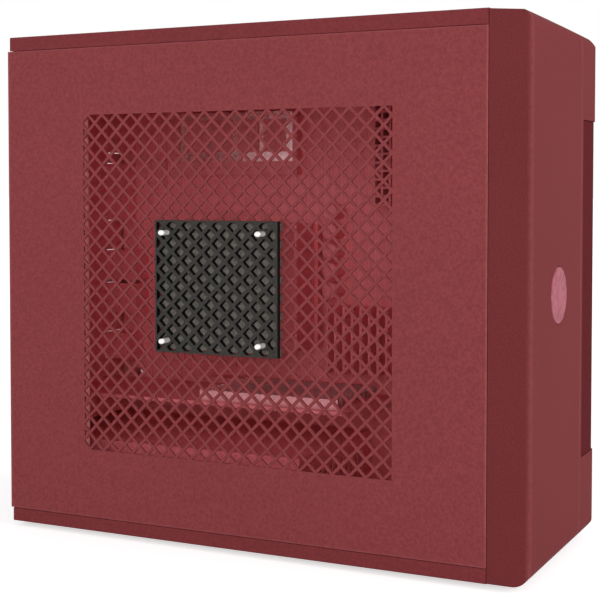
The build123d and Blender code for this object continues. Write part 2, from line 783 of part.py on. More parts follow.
def front_bezel(shell):
    """Moulded front, with the button's hole and the guide ring behind it."""
    end_x = strip_x - strip_seam / 2
    shape = shell & between(left_x, end_x)
    shape += block(end_x - bezel_wall, end_x, front_y + bezel_wall / 2, seam_y,
                   base_z + bezel_drop + bezel_round_height, top_z - bezel_drop - bezel_round_height)
    shape += snap_hooks(left_x, end_x)
    guide_outer = button_radius + button_flange + 2.2
    back_y = front_y + bezel_wall
    guide_y = back_y + 6.0
    ring = rod_y(guide_outer, back_y, guide_y, button_x, button_z)
    ring -= rod_y(guide_outer - 1.5, back_y, guide_y, button_x, button_z)
    hole = rod_y(button_radius + button_fit, front_y, back_y, button_x, button_z)
    return shape + ring - hole


def side_strip(shell):
    """Narrow moulding beyond the seam, with the long opening for the dark inset."""
    start_x = strip_x + strip_seam / 2
    shape = shell & between(start_x, right_x)
    shape += block(start_x, start_x + bezel_wall, front_y + bezel_wall / 2, seam_y,
                   base_z + bezel_drop + bezel_round_height, top_z - bezel_drop - bezel_round_height)
    shape -= between(strip_x + insert_near, right_x, front_y, seam_y - insert_rear,
                     base_z + insert_bottom, base_z + insert_top)
    return shape + snap_hooks(start_x, right_x)


def strip_insert():
    """Dark inset of the side strip: sunk face, and a lip that bears on the strip's inside."""
    face = bezel_form(insert_sunk) - bezel_form(bezel_wall)
    fit = insert_fit
    face &= between(strip_x + insert_near + fit, right_x, front_y, seam_y - insert_rear - fit,
                    base_z + insert_bottom + fit, base_z + insert_top - fit)
    back = bezel_form(bezel_wall) - bezel_form(bezel_wall + insert_back)
    back &= between(strip_x + insert_near + 0.5, right_x, front_y, seam_y - insert_rear + insert_lip,
                    base_z + insert_bottom - insert_lip, base_z + insert_top + insert_lip)
    return face + back


def power_button():
    """Round button with a flange behind the bezel and a stem to the switch."""
    y0 = front_y - button_proud
    flange_y = front_y + bezel_wall + slip
    back_y = flange_y + button_plate
    disc = rod_y(button_radius, y0, back_y, button_x, button_z)
    disc = fillet(disc.edges().filter_by(GeomType.CIRCLE).sort_by(Axis.Y)[0], 0.5)
    disc += rod_y(button_radius + button_flange, flange_y, back_y, button_x, button_z)
    return disc + rod_y(button_stem_radius, back_y, plunger_front_y, button_x, button_z)


def power_switch():
    """Push switch fixed to the front wall, with a bore for its plunger."""
    half = switch_side / 2
    shape = block(button_x - half, button_x + half, switch_front_y, wall_front_y,
                  button_z - half, button_z + half)
    shape = chamfer(shape.edges().filter_by(Axis.Y), 1.0)
    return shape - rod_y(plunger_radius + run_fit, switch_front_y, wall_front_y - switch_floor,
                         button_x, button_z)


def switch_plunger():
    end_y = wall_front_y - switch_floor - button_travel - 0.4
    return rod_y(plunger_radius, plunger_front_y, end_y, button_x, button_z)


# ---------------------------------------------------------------- board tray and main board
def board_tray():
    """Upright steel plate with a foot on the bottom and a fold against the rear wall."""
    y0 = wall_front_y + sheet + 8.0
    plate = block(tray_x, tray_x + sheet, y0, inner_rear_y, floor_z, ceiling_z - cover_flange - 2.0)
    foot_plate = block(tray_x, tray_x + tray_foot, y0, inner_rear_y - hem_from_rear, floor_z, floor_z + sheet)
    shape = plate + foot_plate
    vent_rows, vent_columns, vent_pitch = 4, 8, 7.0
    first_y = heatsink_y - (vent_columns - 1) * vent_pitch / 2
    first_z = base_z + heatsink_z - (vent_rows - 1) * vent_pitch / 2
    return shape - [
        rod_x(2.0, tray_x, tray_x + sheet, first_y + column * vent_pitch, first_z + row * vent_pitch)
        for row in range(vent_rows)
        for column in range(vent_columns)
    ]


def board_holes():
    return [(board_rear_y - a, board_low_z + b) for a in board_hole_y for b in board_hole_z]


def standoff(y, z):
    """Hexagonal brass pillar between the tray and the board."""
    hexagon = Rot(0, 90, 0) * extrude(RegularPolygon(standoff_radius, 6), standoff_length)
    return Pos(tray_x - standoff_length, y, z) * hexagon - rod_x(
        1.2, tray_x - standoff_length, tray_x - 1.0, y, z
    )


def board_screw(y, z):
    head = rod_x(3.0, board_x - 1.8, board_x, y, z)
    head = fillet(head.edges().filter_by(GeomType.CIRCLE).sort_by(Axis.X)[0], 0.8)
    return head + rod_x(1.2, board_x, board_x + pcb + 4.0, y, z)


def main_board():
    shape = block(board_x, board_x + pcb, board_rear_y - board_side, board_rear_y,
                  board_low_z, board_low_z + board_side)
    for y, z in board_holes():
        shape -= rod_x(board_hole_radius, board_x, board_x + pcb, y, z)
    return shape


# Ports on the board's rear edge: (centre above the shield's lower end, width along Z, height)


def port_span(place):
    """z0, z1, x0 and x1 of a port that stands on the board."""
    centre, width, height = place
    z = shield_low_z + centre
    return z - width / 2, z + width / 2, board_x - height, board_x


def port_shield():
    """Thin steel plate behind the rear aperture, with a hole for each port."""
    lap = shield_lap
    shape = block(shield_far_x - shield_width - lap, shield_far_x + lap, inner_rear_y - shield_sheet,
                  inner_rear_y, shield_low_z - lap, shield_low_z + shield_height + lap)
    for place in lan_places + usb_places + [serial_place, video_place]:
        z0, z1, x0, x1 = port_span(place)
        shape -= block(x0 - port_fit, x1 + port_fit, inner_rear_y - shield_sheet, inner_rear_y,
                       z0 - port_fit, z1 + port_fit)
    return shape


def modular_jack(x0, x1, z0, z1, latch_down_x):
    """Shielded network jack that opens to the rear, with its latch notch."""
    shape = block(x0, x1, port_face_y - jack_length, port_face_y, z0, z1)
    cx, cz = (x0 + x1) / 2, (z0 + z1) / 2
    y0 = port_face_y - jack_cavity_depth
    across, along = jack_cavity_width / 2, jack_cavity_height / 2
    if latch_down_x:
        shape -= block(cx - along, cx + along, y0, port_face_y, cz - across, cz + across)
        shape -= block(x0 + 1.0, cx - along, y0 + 4.0, port_face_y, cz - 2.2, cz + 2.2)
    else:
        shape -= block(cx - across, cx + across, y0, port_face_y, cz - along, cz + along)
        shape -= block(cx - 2.2, cx + 2.2, y0 + 4.0, port_face_y, z0 + 1.0, cz - along)
    return shape


def lan_jacks():
    jacks = []
    for place in lan_places:
        z0, z1, x0, x1 = port_span(place)
        jacks.append(modular_jack(x0, x1, z0, z1, True))
    return jacks


def usb_stack():
    """Two-storey serial-bus socket with a tongue in each opening."""
    z0, z1, x0, x1 = port_span(usb_places[0])
    shape = block(x0, x1, port_face_y - usb_length, port_face_y, z0, z1)
    storey = (x1 - x0) / 2
    for step in range(2):
        low = x0 + step * storey + 1.0
        shape -= block(low, low + storey - 1.6, port_face_y - 11.0, port_face_y, z0 + 0.8, z1 - 0.8)
        shape += block(low + 1.0, low + 2.8, port_face_y - 11.5, port_face_y - 1.0, z0 + 1.8, z1 - 1.8)
    return shape


def d_port(place, shell_width):
    """D-shaped connector: block, shell with a hollow, and two hexagonal jack screws."""
    z0, z1, x0, x1 = port_span(place)
    cz, cx = (z0 + z1) / 2, (x0 + x1) / 2
    face = port_face_y - 1.0
    shape = block(x0, x1, face - 12.0, face, z0, z1)
    half, height, slant = shell_width / 2, 4.2, 1.6
    outline = [(cx - height, cz - half + slant), (cx - height, cz + half - slant),
               (cx + height, cz + half), (cx + height, cz - half)]

    def prism(shrink, y0, length):
        pts = [Vector(cx + (x - cx) * shrink, y0, cz + (z - cz) * shrink) for x, z in outline]
        return extrude(Face(Wire.make_polygon(pts, close=True)), length, dir=(0, 1, 0))

    shape += prism(1.0, face, 5.0)
    shape -= prism(0.86, face - 3.0, 8.0)
    for side in (-1, 1):
        screw = Rot(90, 0, 0) * extrude(RegularPolygon(2.6, 6), 4.0)
        shape += Pos(cx, face + 4.0, cz + side * (half + 3.8)) * screw
    return shape


def cpu_socket():
    half = socket_side / 2
    y, z = heatsink_y, base_z + heatsink_z
    return block(board_x - socket_height, board_x, y - half, y + half, z - half, z + half)


def cpu_heatsink():
    """Extruded aluminium cooler: base plate and upright fins."""
    half = heatsink_side / 2
    y, z = heatsink_y, base_z + heatsink_z
    back_x = board_x - socket_height
    shape = block(back_x - heatsink_base, back_x, y - half, y + half, z - half, z + half)
    count = int((heatsink_side - fin_thickness) / fin_pitch) + 1
    first = y - (count - 1) * fin_pitch / 2 - fin_thickness / 2
    for step in range(count):
        y0 = first + step * fin_pitch
        shape += block(back_x - heatsink_height, back_x - heatsink_base, y0, y0 + fin_thickness,
                       z - half, z + half)
    return shape


def memory_socket():
    y0, z0 = memory_y - memory_length / 2 - 3.0, base_z + memory_z - 3.0
    y1 = memory_y + memory_length / 2 + 3.0
    shape = block(board_x - memory_stand - 2.0, board_x, y0, y1, z0, z0 + 7.0)
    for y in (y0, y1 - 2.6):
        shape += block(board_x - memory_stand - 2.0, board_x, y, y + 2.6, z0, z0 + memory_width)
    gap = 0.05
    return shape - block(board_x - memory_stand - 1.2 - gap, board_x - memory_stand + gap,
                         y0 + 3.0 - gap, y1 - 3.0 + gap, z0 + 3.0 - gap, z0 + memory_width)


def memory_module():
    y0, z0 = memory_y - memory_length / 2, base_z + memory_z
    return block(board_x - memory_stand - 1.2, board_x - memory_stand, y0, y0 + memory_length,
                 z0, z0 + memory_width)


def memory_chips():
    """Four flat chips on the near face of the memory module, as a list."""
    x1 = board_x - memory_stand - 1.2
    y0, z0 = memory_y - memory_length / 2 + 4.0, base_z + memory_z + 9.0
    return [block(x1 - 1.0, x1, y0 + step * 15.6, y0 + step * 15.6 + 12.5, z0, z0 + 17.0)
            for step in range(4)]


def board_capacitors():
    """Upright round capacitors beside the processor, standing on the board."""
    radius, height, pitch = 4.0, 12.0, 10.0
    y0, z0 = heatsink_y - heatsink_side / 2 - 8.0, base_z + heatsink_z - 2.0
    return [rod_x(radius, board_x - height, board_x, y0, z0 + step * pitch) for step in range(5)]


def board_chips():
    """Square chips soldered flat on the board."""
    z0 = base_z + board_bottom
    places = [(96.0, 22.0, 16.0), (62.0, 20.0, 12.0), (106.0, 118.0, 14.0)]
    return [block(board_x - 1.4, board_x, y - s / 2, y + s / 2, z0 + z - s / 2, z0 + z + s / 2)
            for y, z, s in places]


def chipset_heatsink():
    """Small finned cooler near the board's front lower corner."""
    side, height, base = 34.0, 12.0, 3.0
    y, z = -19.0, base_z + board_bottom + 32.0
    shape = block(board_x - base, board_x, y - side / 2, y + side / 2, z - side / 2, z + side / 2)
    fins = 8
    for step in range(fins):
        y0 = y - side / 2 + step * (side - fin_thickness) / (fins - 1)
        shape += block(board_x - height, board_x - base, y0, y0 + fin_thickness, z - side / 2, z + side / 2)
    return shape


def power_header():
    """Board power socket with two rows of square openings."""
    width, length, height, cell = 9.6, 51.6, 12.8, 4.2
    y, z0 = board_rear_y - board_side + 9.0, base_z + board_bottom + 100.0
    shape = block(board_x - height, board_x, y - width / 2, y + width / 2, z0, z0 + length)
    centres = [(y + a * cell / 2, z0 + 2.7 + row * cell) for row in range(12) for a in (-1, 1)]
    return shape - [
        block(board_x - height, board_x - 4.0, cy - 1.5, cy + 1.5, cz - 1.5, cz + 1.5)
        for cy, cz in centres
    ]


# ---------------------------------------------------------------- network card


def card_slot():
    """Edge socket on the main board that takes the card's tab."""
    slot_y1 = slot_y0 + card_slot_length
    shape = block(slot_top_x, board_x, slot_y0, slot_y1, slot_mid_z - slot_half, slot_mid_z + slot_half)
    gap = pcb / 2 + slot_fit
    return shape - block(slot_top_x, slot_top_x + slot_depth, slot_y0 + slot_wall, slot_y1 - slot_wall,
                         slot_mid_z - gap, slot_mid_z + gap)


def network_card():
    body = block(card_near_x, slot_top_x - slip, card_front_y, card_rear_y, card_z, card_z + pcb)
    return body + block(slot_top_x - slip, slot_top_x + 6.5, slot_y0 + 2.0, slot_y0 + card_slot_length - 2.0,
                        card_z, card_z + pcb)


def card_jack_span(step):
    x0 = card_near_x + jack_gap + step * (jack_width + jack_gap)
    return x0, x0 + jack_width


def card_jacks():
    jacks = []
    for step in range(3):
        x0, x1 = card_jack_span(step)
        jacks.append(modular_jack(x0, x1, card_z - jack_height, card_z, False))
    return jacks


def card_bracket():
    """Steel slot plate behind the rear wall, with a hole for each jack and one for its screw."""
    z0 = card_z - jack_height - 1.2
    shape = block(bracket_screw_x - 4.0, slot_top_x + 9.0, inner_rear_y - shield_sheet, inner_rear_y,
                  z0, z0 + bracket_width)
    for step in range(3):
        x0, x1 = card_jack_span(step)
        shape -= block(x0 - port_fit, x1 + port_fit, inner_rear_y - shield_sheet, inner_rear_y,
                       card_z - jack_height - port_fit, card_z + port_fit)
    return shape - rod_y(screw_radius, inner_rear_y - shield_sheet, inner_rear_y, bracket_screw_x, bracket_z)


def bracket_screw():
    """Pan-head screw through the rear wall into the slot plate."""
    head = rod_y(3.0, wall_rear_y, wall_rear_y + 1.0, bracket_screw_x, bracket_z)
    return head + rod_y(screw_radius, inner_rear_y - 4.0, wall_rear_y, bracket_screw_x, bracket_z)


def card_heatsink():
    """Low finned cooler on the upper face of the card."""
    x0, x1 = card_near_x + cooler_inset, cooler_far_x
    y0, z0 = card_front_y + cooler_inset, card_z + pcb
    y1 = y0 + cooler_length
    shape = block(x0, x1, y0, y1, z0, z0 + cooler_base)
    for step in range(cooler_fins):
        x = x0 + step * (x1 - x0 - fin_thickness) / (cooler_fins - 1)
        shape += block(x, x + fin_thickness, y0, y1, z0 + cooler_base, z0 + cooler_height)
    return shape


# ---------------------------------------------------------------- power supply


def psu_base():
    """Bottom, front and rear of the supply's box, with the cut-outs of its rear face."""
    t = psu_sheet
    shape = block(psu_x, psu_far_x, psu_y0, inner_rear_y, floor_z, floor_z + t)
    shape += block(psu_x, psu_far_x, psu_y0, psu_y0 + t, floor_z, psu_top_z - t)
    rear = block(psu_x, psu_far_x, psu_back_y, inner_rear_y, floor_z, psu_top_z - t)
    half_w, half_h = inlet_width / 2, inlet_height / 2
    rear -= block(inlet_x - half_w, inlet_x + half_w, psu_back_y, inner_rear_y,
                  psu_mid_z - half_h, psu_mid_z + half_h)
    half_w, half_h = rocker_width / 2, rocker_height / 2
    rear -= block(rocker_x - half_w, rocker_x + half_w, psu_back_y, inner_rear_y,
                  psu_mid_z - half_h, psu_mid_z + half_h)
    hole_radius, pitch = 1.7, 4.2
    grid = [(column * pitch, row * pitch) for row in range(-4, 5) for column in range(-4, 5)]
    rear -= [
        rod_y(hole_radius, psu_back_y, inner_rear_y, psu_fan_x + x, psu_mid_z + z)
        for x, z in grid
        if x * x + z * z < (psu_fan_duct_radius - hole_radius) ** 2
    ]
    front_slots = [
        block(x, x + 2.5, psu_y0, psu_y0 + t, floor_z + 8.0, psu_top_z - 8.0)
        for x in [psu_x + 10.0 + 6.0 * step for step in range(11)]
    ]
    return shape + rear - front_slots


def psu_cover():
    """Top and both sides of the supply's box."""
    t = psu_sheet
    shape = block(psu_x - t, psu_far_x + t, psu_y0, inner_rear_y, psu_top_z - t, psu_top_z)
    for x in (psu_x - t, psu_far_x):
        shape += block(x, x + t, psu_y0, inner_rear_y, floor_z, psu_top_z - t)
    return shape


def psu_inlet():
    """Mains inlet: shroud open to the rear, with three blades inside."""
    half_w, half_h = inlet_width / 2, inlet_height / 2
    face_y = inner_rear_y + 1.0
    shape = block(inlet_x - half_w, inlet_x + half_w, face_y - inlet_length, face_y,
                  psu_mid_z - half_h, psu_mid_z + half_h)
    shape -= block(inlet_x - half_w + inlet_wall, inlet_x + half_w - inlet_wall,
                   face_y - inlet_length + inlet_floor, face_y,
                   psu_mid_z - half_h + inlet_wall, psu_mid_z + half_h - inlet_wall)
    blade_front = face_y - 5.5
    for x, z in ((-2.0, -7.0), (-2.0, 7.0), (2.0, 0.0)):
        shape += block(inlet_x + x - 1.0, inlet_x + x + 1.0, face_y - inlet_length + inlet_floor - 1.0,
                       blade_front, psu_mid_z + z - 2.0, psu_mid_z + z + 2.0)
    return shape


def psu_switch_frame():
    """Frame of the mains switch, snapped into the supply's rear face."""
    half_w, half_h = rocker_width / 2, rocker_height / 2
    w = rocker_frame_wall
    face_y = inner_rear_y + 0.6
    shape = block(rocker_x - half_w, rocker_x + half_w, face_y - rocker_body, face_y,
                  psu_mid_z - half_h, psu_mid_z + half_h)
    shape -= block(rocker_x - half_w + w, rocker_x + half_w - w, face_y - rocker_body + 3.0, face_y,
                   psu_mid_z - half_h + w, psu_mid_z + half_h - w)
    for side in (-1, 1):
        x = rocker_x + side * (half_w - w / 2)
        shape -= rod_x(rocker_pivot_radius + run_fit, x - w / 2, x + w / 2, rocker_pivot_y, psu_mid_z)
    return shape


def psu_switch_rocker():
    """Rocker on a cross pin, shown tipped to its lower end."""
    half_w = rocker_width / 2 - rocker_frame_wall - 0.35
    half_h = rocker_height / 2 - rocker_frame_wall - 0.6
    outline = [(0.6, -half_h), (3.6, -half_h), (2.4, 0), (3.6, half_h), (0.6, half_h), (-2.0, 0)]
    wire = Wire.make_polygon([Vector(rocker_x - half_w, y, z) for y, z in outline], close=True)
    paddle = extrude(Face(wire), 2 * half_w, dir=(1, 0, 0))
    pin_end = rocker_width / 2 - 0.2
    pin = rod_x(rocker_pivot_radius, rocker_x - pin_end, rocker_x + pin_end, 0, 0)
    return Pos(0, rocker_pivot_y, psu_mid_z) * Rot(rocker_tilt, 0, 0) * (paddle + pin)


def psu_board():
    z0 = floor_z + psu_sheet + 4.0
    return block(psu_x + 2.0, psu_far_x - 2.0, psu_y0 + 6.0, psu_back_y - 26.0, z0, z0 + pcb)


def psu_pillars():
    """Posts that carry the supply's board."""
    z0, z1 = floor_z + psu_sheet, floor_z + psu_sheet + 4.0
    xs = (psu_x + 6.0, psu_far_x - 6.0)
    ys = (psu_y0 + 10.0, psu_back_y - 30.0)
    return [rod_z(2.5, z0, z1, x, y) for x in xs for y in ys]


def psu_components():
    """Transformer, two capacitors and a choke on the supply's board."""
    z0 = floor_z + psu_sheet + 4.0 + pcb
    return [
        block(-16.0, 14.0, psu_y0 + 44.0, psu_y0 + 72.0, z0, z0 + 26.0),
        rod_z(9.0, z0, z0 + 28.0, -20.0, psu_y0 + 92.0),
        rod_z(9.0, z0, z0 + 28.0, 4.0, psu_y0 + 92.0),
        block(18.0, 34.0, psu_y0 + 16.0, psu_y0 + 32.0, z0, z0 + 16.0),
    ]


# ---------------------------------------------------------------- drive


def drive_bracket():
    """Folded bracket on the front wall; its two ears hold the drive."""
    far_x = drive_x + drive_width
    y0 = wall_front_y + sheet
    z0, z1 = drive_z + 6.0, drive_z + drive_height - 6.0
    shape = block(drive_x - sheet, far_x + sheet, y0, y0 + sheet, z0, z1)
    for x in (drive_x - sheet, far_x):
        shape += block(x, x + sheet, y0, drive_back_y + drive_thickness, z0, z1)
        for z in drive_screw_z():
            shape -= rod_x(screw_radius, x, x + sheet, drive_screw_y, z)
    return shape


def drive_screw_z():
    return (drive_z + 14.0, drive_z + drive_height - 14.0)


def storage_drive():
    far_x = drive_x + drive_width
    shape = block(drive_x, far_x, drive_back_y, drive_back_y + drive_thickness,
                  drive_z, drive_z + drive_height)
    shape = fillet(shape.edges().filter_by(Axis.Y), 2.0)
    for x0, x1 in ((drive_x, drive_x + 3.0), (far_x - 3.0, far_x)):
        for z in drive_screw_z():
            shape -= rod_x(screw_radius, x0, x1, drive_screw_y, z)
    return shape


def drive_screws():
    far_x = drive_x + drive_width
    made = []
    for z in drive_screw_z():
        made.append(rod_x(2.6, drive_x - sheet - 1.4, drive_x - sheet, drive_screw_y, z)
                    + rod_x(screw_radius, drive_x - sheet, drive_x + 2.5, drive_screw_y, z))
        made.append(rod_x(2.6, far_x + sheet, far_x + sheet + 1.4, drive_screw_y, z)
                    + rod_x(screw_radius, far_x - 2.5, far_x + sheet, drive_screw_y, z))
    return made


# ---------------------------------------------------------------- writing
def main():
    os.makedirs("parts", exist_ok=True)
    shell = bezel_form(0) - bezel_form(bezel_wall)
    panel_fan = Pos(filter_back_x, guard_y, guard_z) * Rot(0, 90, 0)
    supply_fan = Pos(psu_fan_x, psu_back_y, psu_mid_z) * Rot(90, 0, 0)
    foot_x = right_x - foot_inset - foot_radius

    save("base_tray", base_tray())
    save("top_cover", top_cover())
    save("cover_screws", *[cover_screw(y, d, x) for y, d in ((wall_front_y, -1), (wall_rear_y, 1))
                           for x in cover_screw_x])
    save("feet", *[foot(x, y) for x in (-foot_x, foot_x) for y in (foot_front_y, foot_rear_y)])
    save("mesh_side_panel", mesh_side_panel(), flat_faces=True)
    save("panel_frame", panel_frame())
    save("panel_stiffener", panel_stiffener())
    save("plain_side_panel", plain_side_panel())
    save("mesh_panel_thumb_screws", *[thumb_screw(-1, z) for z in thumb_z])
    save("plain_panel_thumb_screws", *[thumb_screw(1, z) for z in thumb_z])
    save("fan_guard", fan_guard())
    save("guard_filter", guard_filter())
    save("guard_screws", *[guard_screw(y, z) for y, z in guard_screw_places()])
    save("fan_frame", panel_fan * fan_frame(fan_side, fan_depth, fan_duct_radius, fan_hub_radius,
                                            fan_hole_pitch))
    save("fan_rotor", panel_fan * fan_rotor(fan_depth, fan_duct_radius, fan_hub_radius))
    save("fan_shaft", panel_fan * fan_shaft(fan_depth))
    save("fan_bearing", panel_fan * fan_bearing(fan_depth))
    save("front_bezel", front_bezel(shell))
    save("bezel_side_strip", side_strip(shell))
    save("strip_insert", strip_insert())
    save("power_button", power_button())
    save("power_switch", power_switch())
    save("switch_plunger", switch_plunger())
    save("board_tray", board_tray())
    save("board_standoffs", *[standoff(y, z) for y, z in board_holes()])
    save("main_board", main_board())
    save("board_screws", *[board_screw(y, z) for y, z in board_holes()])
    save("port_shield", port_shield())
    save("lan_jacks", *lan_jacks())
    save("usb_socket", usb_stack())
    save("serial_port", d_port(serial_place, 17.0))
    save("video_port", d_port(video_place, 17.0))
    save("cpu_socket", cpu_socket())
    save("cpu_heatsink", cpu_heatsink())
    save("memory_socket", memory_socket())
    save("memory_module", memory_module())
    save("board_capacitors", *board_capacitors())
    save("board_chips", *board_chips(), *memory_chips())
    save("chipset_heatsink", chipset_heatsink())
    save("power_header", power_header())
    save("card_slot", card_slot())
    save("network_card", network_card())
    save("card_jacks", *card_jacks())
    save("card_bracket", card_bracket())
    save("bracket_screw", bracket_screw())
    save("card_heatsink", card_heatsink())
    save("psu_base", psu_base())
    save("psu_cover", psu_cover())
    save("psu_inlet", psu_inlet())
    save("psu_switch_frame", psu_switch_frame())
    save("psu_switch_rocker", psu_switch_rocker())
    save("psu_fan_frame", supply_fan * fan_frame(psu_fan_side, psu_fan_depth, psu_fan_duct_radius,
                                                 psu_fan_hub_radius, psu_fan_hole_pitch))
    save("psu_fan_rotor", supply_fan * fan_rotor(psu_fan_depth, psu_fan_duct_radius,
                                                 psu_fan_hub_radius))
    save("psu_fan_shaft", supply_fan * fan_shaft(psu_fan_depth))
    save("psu_fan_bearing", supply_fan * fan_bearing(psu_fan_depth))
    save("psu_board", psu_board())
    save("psu_components", *psu_components(), *psu_pillars())
    save("drive_bracket", drive_bracket())
    save("storage_drive", storage_drive())
    save("drive_screws", *drive_screws())


main()
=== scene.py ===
import math
import bmesh
import bpy
from mathutils import Matrix, Vector


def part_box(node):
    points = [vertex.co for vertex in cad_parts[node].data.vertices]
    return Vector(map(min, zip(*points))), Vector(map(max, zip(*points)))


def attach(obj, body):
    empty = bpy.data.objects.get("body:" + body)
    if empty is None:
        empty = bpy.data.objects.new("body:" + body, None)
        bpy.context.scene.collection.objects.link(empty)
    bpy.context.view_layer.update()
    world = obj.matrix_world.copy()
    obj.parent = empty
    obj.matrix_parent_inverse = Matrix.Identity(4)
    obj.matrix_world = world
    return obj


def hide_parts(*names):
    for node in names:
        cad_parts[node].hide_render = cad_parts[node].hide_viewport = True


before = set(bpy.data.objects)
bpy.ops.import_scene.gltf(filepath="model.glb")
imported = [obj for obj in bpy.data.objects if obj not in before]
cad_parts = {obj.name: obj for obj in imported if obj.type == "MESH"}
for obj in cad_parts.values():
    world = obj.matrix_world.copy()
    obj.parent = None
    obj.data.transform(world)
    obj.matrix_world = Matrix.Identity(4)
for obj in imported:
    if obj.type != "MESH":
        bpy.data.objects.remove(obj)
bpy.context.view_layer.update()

# Camera: stands in front of the perforated side, a little above the middle of the case, and
# looks almost level. The small vertical shift keeps the upright edges nearly parallel.
camera_place = Vector((-0.5755, -0.2868, 0.1670))
camera_yaw = math.radians(26.1)
camera_dip = math.radians(2.13)
camera_data = bpy.data.cameras.new("camera")
camera_data.lens = 79.2
camera_data.sensor_width = 36.0
camera_data.shift_y = -0.10
camera_data.clip_start = 0.01
camera = bpy.data.objects.new("camera", camera_data)
bpy.context.scene.collection.objects.link(camera)
ahead = Vector((math.cos(camera_yaw) * math.cos(camera_dip), math.sin(camera_yaw) * math.cos(camera_dip),
                -math.sin(camera_dip)))
camera.location = camera_place
camera.rotation_euler = ahead.to_track_quat("-Z", "Y").to_euler()
bpy.context.scene.camera = camera
bpy.context.scene.view_settings.view_transform = "Standard"


# Studio: an even white surround, a white floor that keeps the shadow, and three large soft lamps:
# one above the rear of the perforated side, one before that side that shines straight in through
# its holes, and one in front of the bezel.
def linear(code):
    """Linear RGBA of an sRGB hex colour."""
    channels = [int(code[at:at + 2], 16) / 255 for at in (1, 3, 5)]
    return [c / 12.92 if c <= 0.04045 else ((c + 0.055) / 1.055) ** 2.4 for c in channels] + [1.0]


def add(material, kind, inputs=None, **settings):
    """Adds a node. Settings are its properties, and inputs its sockets' values or what feeds them."""
    made = material.node_tree.nodes.new("ShaderNode" + kind)
    for name, value in settings.items():
        setattr(made, name, value)
    for name, value in (inputs or {}).items():
        if isinstance(value, bpy.types.NodeSocket):
            material.node_tree.links.new(value, made.inputs[name])
        else:
            made.inputs[name].default_value = value
    return made


def seen_directly(material):
    """1 for rays from the camera, a mirror or a clear body, and 0 for those that only carry light."""
    ray = add(material, "LightPath")
    first = add(material, "Math", {0: ray.outputs["Is Camera Ray"], 1: ray.outputs["Is Glossy Ray"]},
                operation="MAXIMUM")
    both = add(material, "Math", {0: first.outputs[0], 1: ray.outputs["Is Transmission Ray"]},
               operation="MAXIMUM")
    return both.outputs[0]


surround_light = 0.28
world = bpy.data.worlds.new("studio_surround")
bpy.context.scene.world = world
world.use_nodes = True
surround = world.node_tree.nodes["Background"]
surround.inputs["Color"].default_value = linear("#ffffff")
surround_strength = add(world, "MapRange", {"Value": seen_directly(world), "To Min": surround_light,
                                            "To Max": 1.0})
world.node_tree.links.new(surround_strength.outputs["Result"], surround.inputs["Strength"])

middle_of_case = Vector((0.0, 0.0, 0.12))
for name, place, watts, size in (
    ("side_lamp", (-1.1, 0.60, 0.80), 4.6, 0.9),
    ("window_lamp", (-1.30, -0.60, 0.42), 7.0, 0.7),
    ("front_lamp", (0.1, -1.5, 0.7), 15.0, 1.2),
):
    lamp_data = bpy.data.lights.new(name, "AREA")
    lamp_data.energy = watts
    lamp_data.size = size
    lamp = bpy.data.objects.new(name, lamp_data)
    lamp.location = place
    aim = middle_of_case - lamp.location
    lamp.rotation_euler = aim.to_track_quat("-Z", "Y").to_euler()
    bpy.context.scene.collection.objects.link(lamp)

floor_reach = 30.0
floor_lift = 0.6           # what the camera sees added to the light that the floor sends back
far_floor_lift = 0.82      # the same, where the lamps no longer reach the floor
floor_mesh = bmesh.new()
bmesh.ops.create_grid(floor_mesh, x_segments=1, y_segments=1, size=floor_reach)
floor_data = bpy.data.meshes.new("floor")
floor_mesh.to_mesh(floor_data)
floor_mesh.free()
floor = bpy.data.objects.new("floor", floor_data)
bpy.context.scene.collection.objects.link(floor)
floor_paint = bpy.data.materials.new("white_floor_paint")
floor_paint.use_nodes = True
floor_shader = floor_paint.node_tree.nodes["Principled BSDF"]
floor_shader.inputs["Base Color"].default_value = linear("#ececec")
floor_shader.inputs["Roughness"].default_value = 0.9
floor_shader.inputs["Specular IOR Level"].default_value = 0.1
floor_place = add(floor_paint, "TexCoord")
floor_distance = add(floor_paint, "VectorMath", {0: floor_place.outputs["Object"]}, operation="LENGTH")
floor_level = add(floor_paint, "MapRange", {"Value": floor_distance.outputs["Value"], "From Min": 0.5,
                                            "From Max": 1.5, "To Min": floor_lift,
                                            "To Max": far_floor_lift})
floor_glow = add(floor_paint, "MapRange", {"Value": seen_directly(floor_paint), "To Min": 0.0,
                                           "To Max": floor_level.outputs["Result"]})
floor_shader.inputs["Emission Color"].default_value = linear("#ffffff")
floor_paint.node_tree.links.new(floor_glow.outputs["Result"], floor_shader.inputs["Emission Strength"])
floor_data.materials.append(floor_paint)


# Steel shell: the base with its end walls, the cover, the board's tray and the drive's bracket are
# folded from 1 mm steel and coated with a red powder that melts to a fine pebble. The coat has a
# satin skin, a speckle about a millimetre across, and a slow drift of shade over the sheet.
def start(name, code, roughness, metallic=0.0, **sockets):
    """A new material and its shader, with the values that are the same all over set on its sockets."""
    material = bpy.data.materials.new(name)
    material.use_nodes = True
    shader = material.node_tree.nodes["Principled BSDF"]
    shader.inputs["Base Color"].default_value = linear(code)
    shader.inputs["Roughness"].default_value = roughness
    shader.inputs["Metallic"].default_value = metallic
    for socket, value in sockets.items():
        shader.inputs[socket.replace("_", " ")].default_value = value
    return material, shader


def speckle(material, across, dark, light, detail=3.0):
    """A mottle of two colours, with grains of a real size in metres."""
    place = add(material, "TexCoord")
    noise = add(material, "TexNoise", {"Vector": place.outputs["Object"], "Scale": 1.0 / across,
                                       "Detail": detail, "Roughness": 0.6})
    mottle = add(material, "ValToRGB", {"Fac": noise.outputs["Fac"]})
    mottle.color_ramp.elements[0].position = 0.35
    mottle.color_ramp.elements[0].color = linear(dark)
    mottle.color_ramp.elements[1].position = 0.65
    mottle.color_ramp.elements[1].color = linear(light)
    return mottle.outputs["Color"]


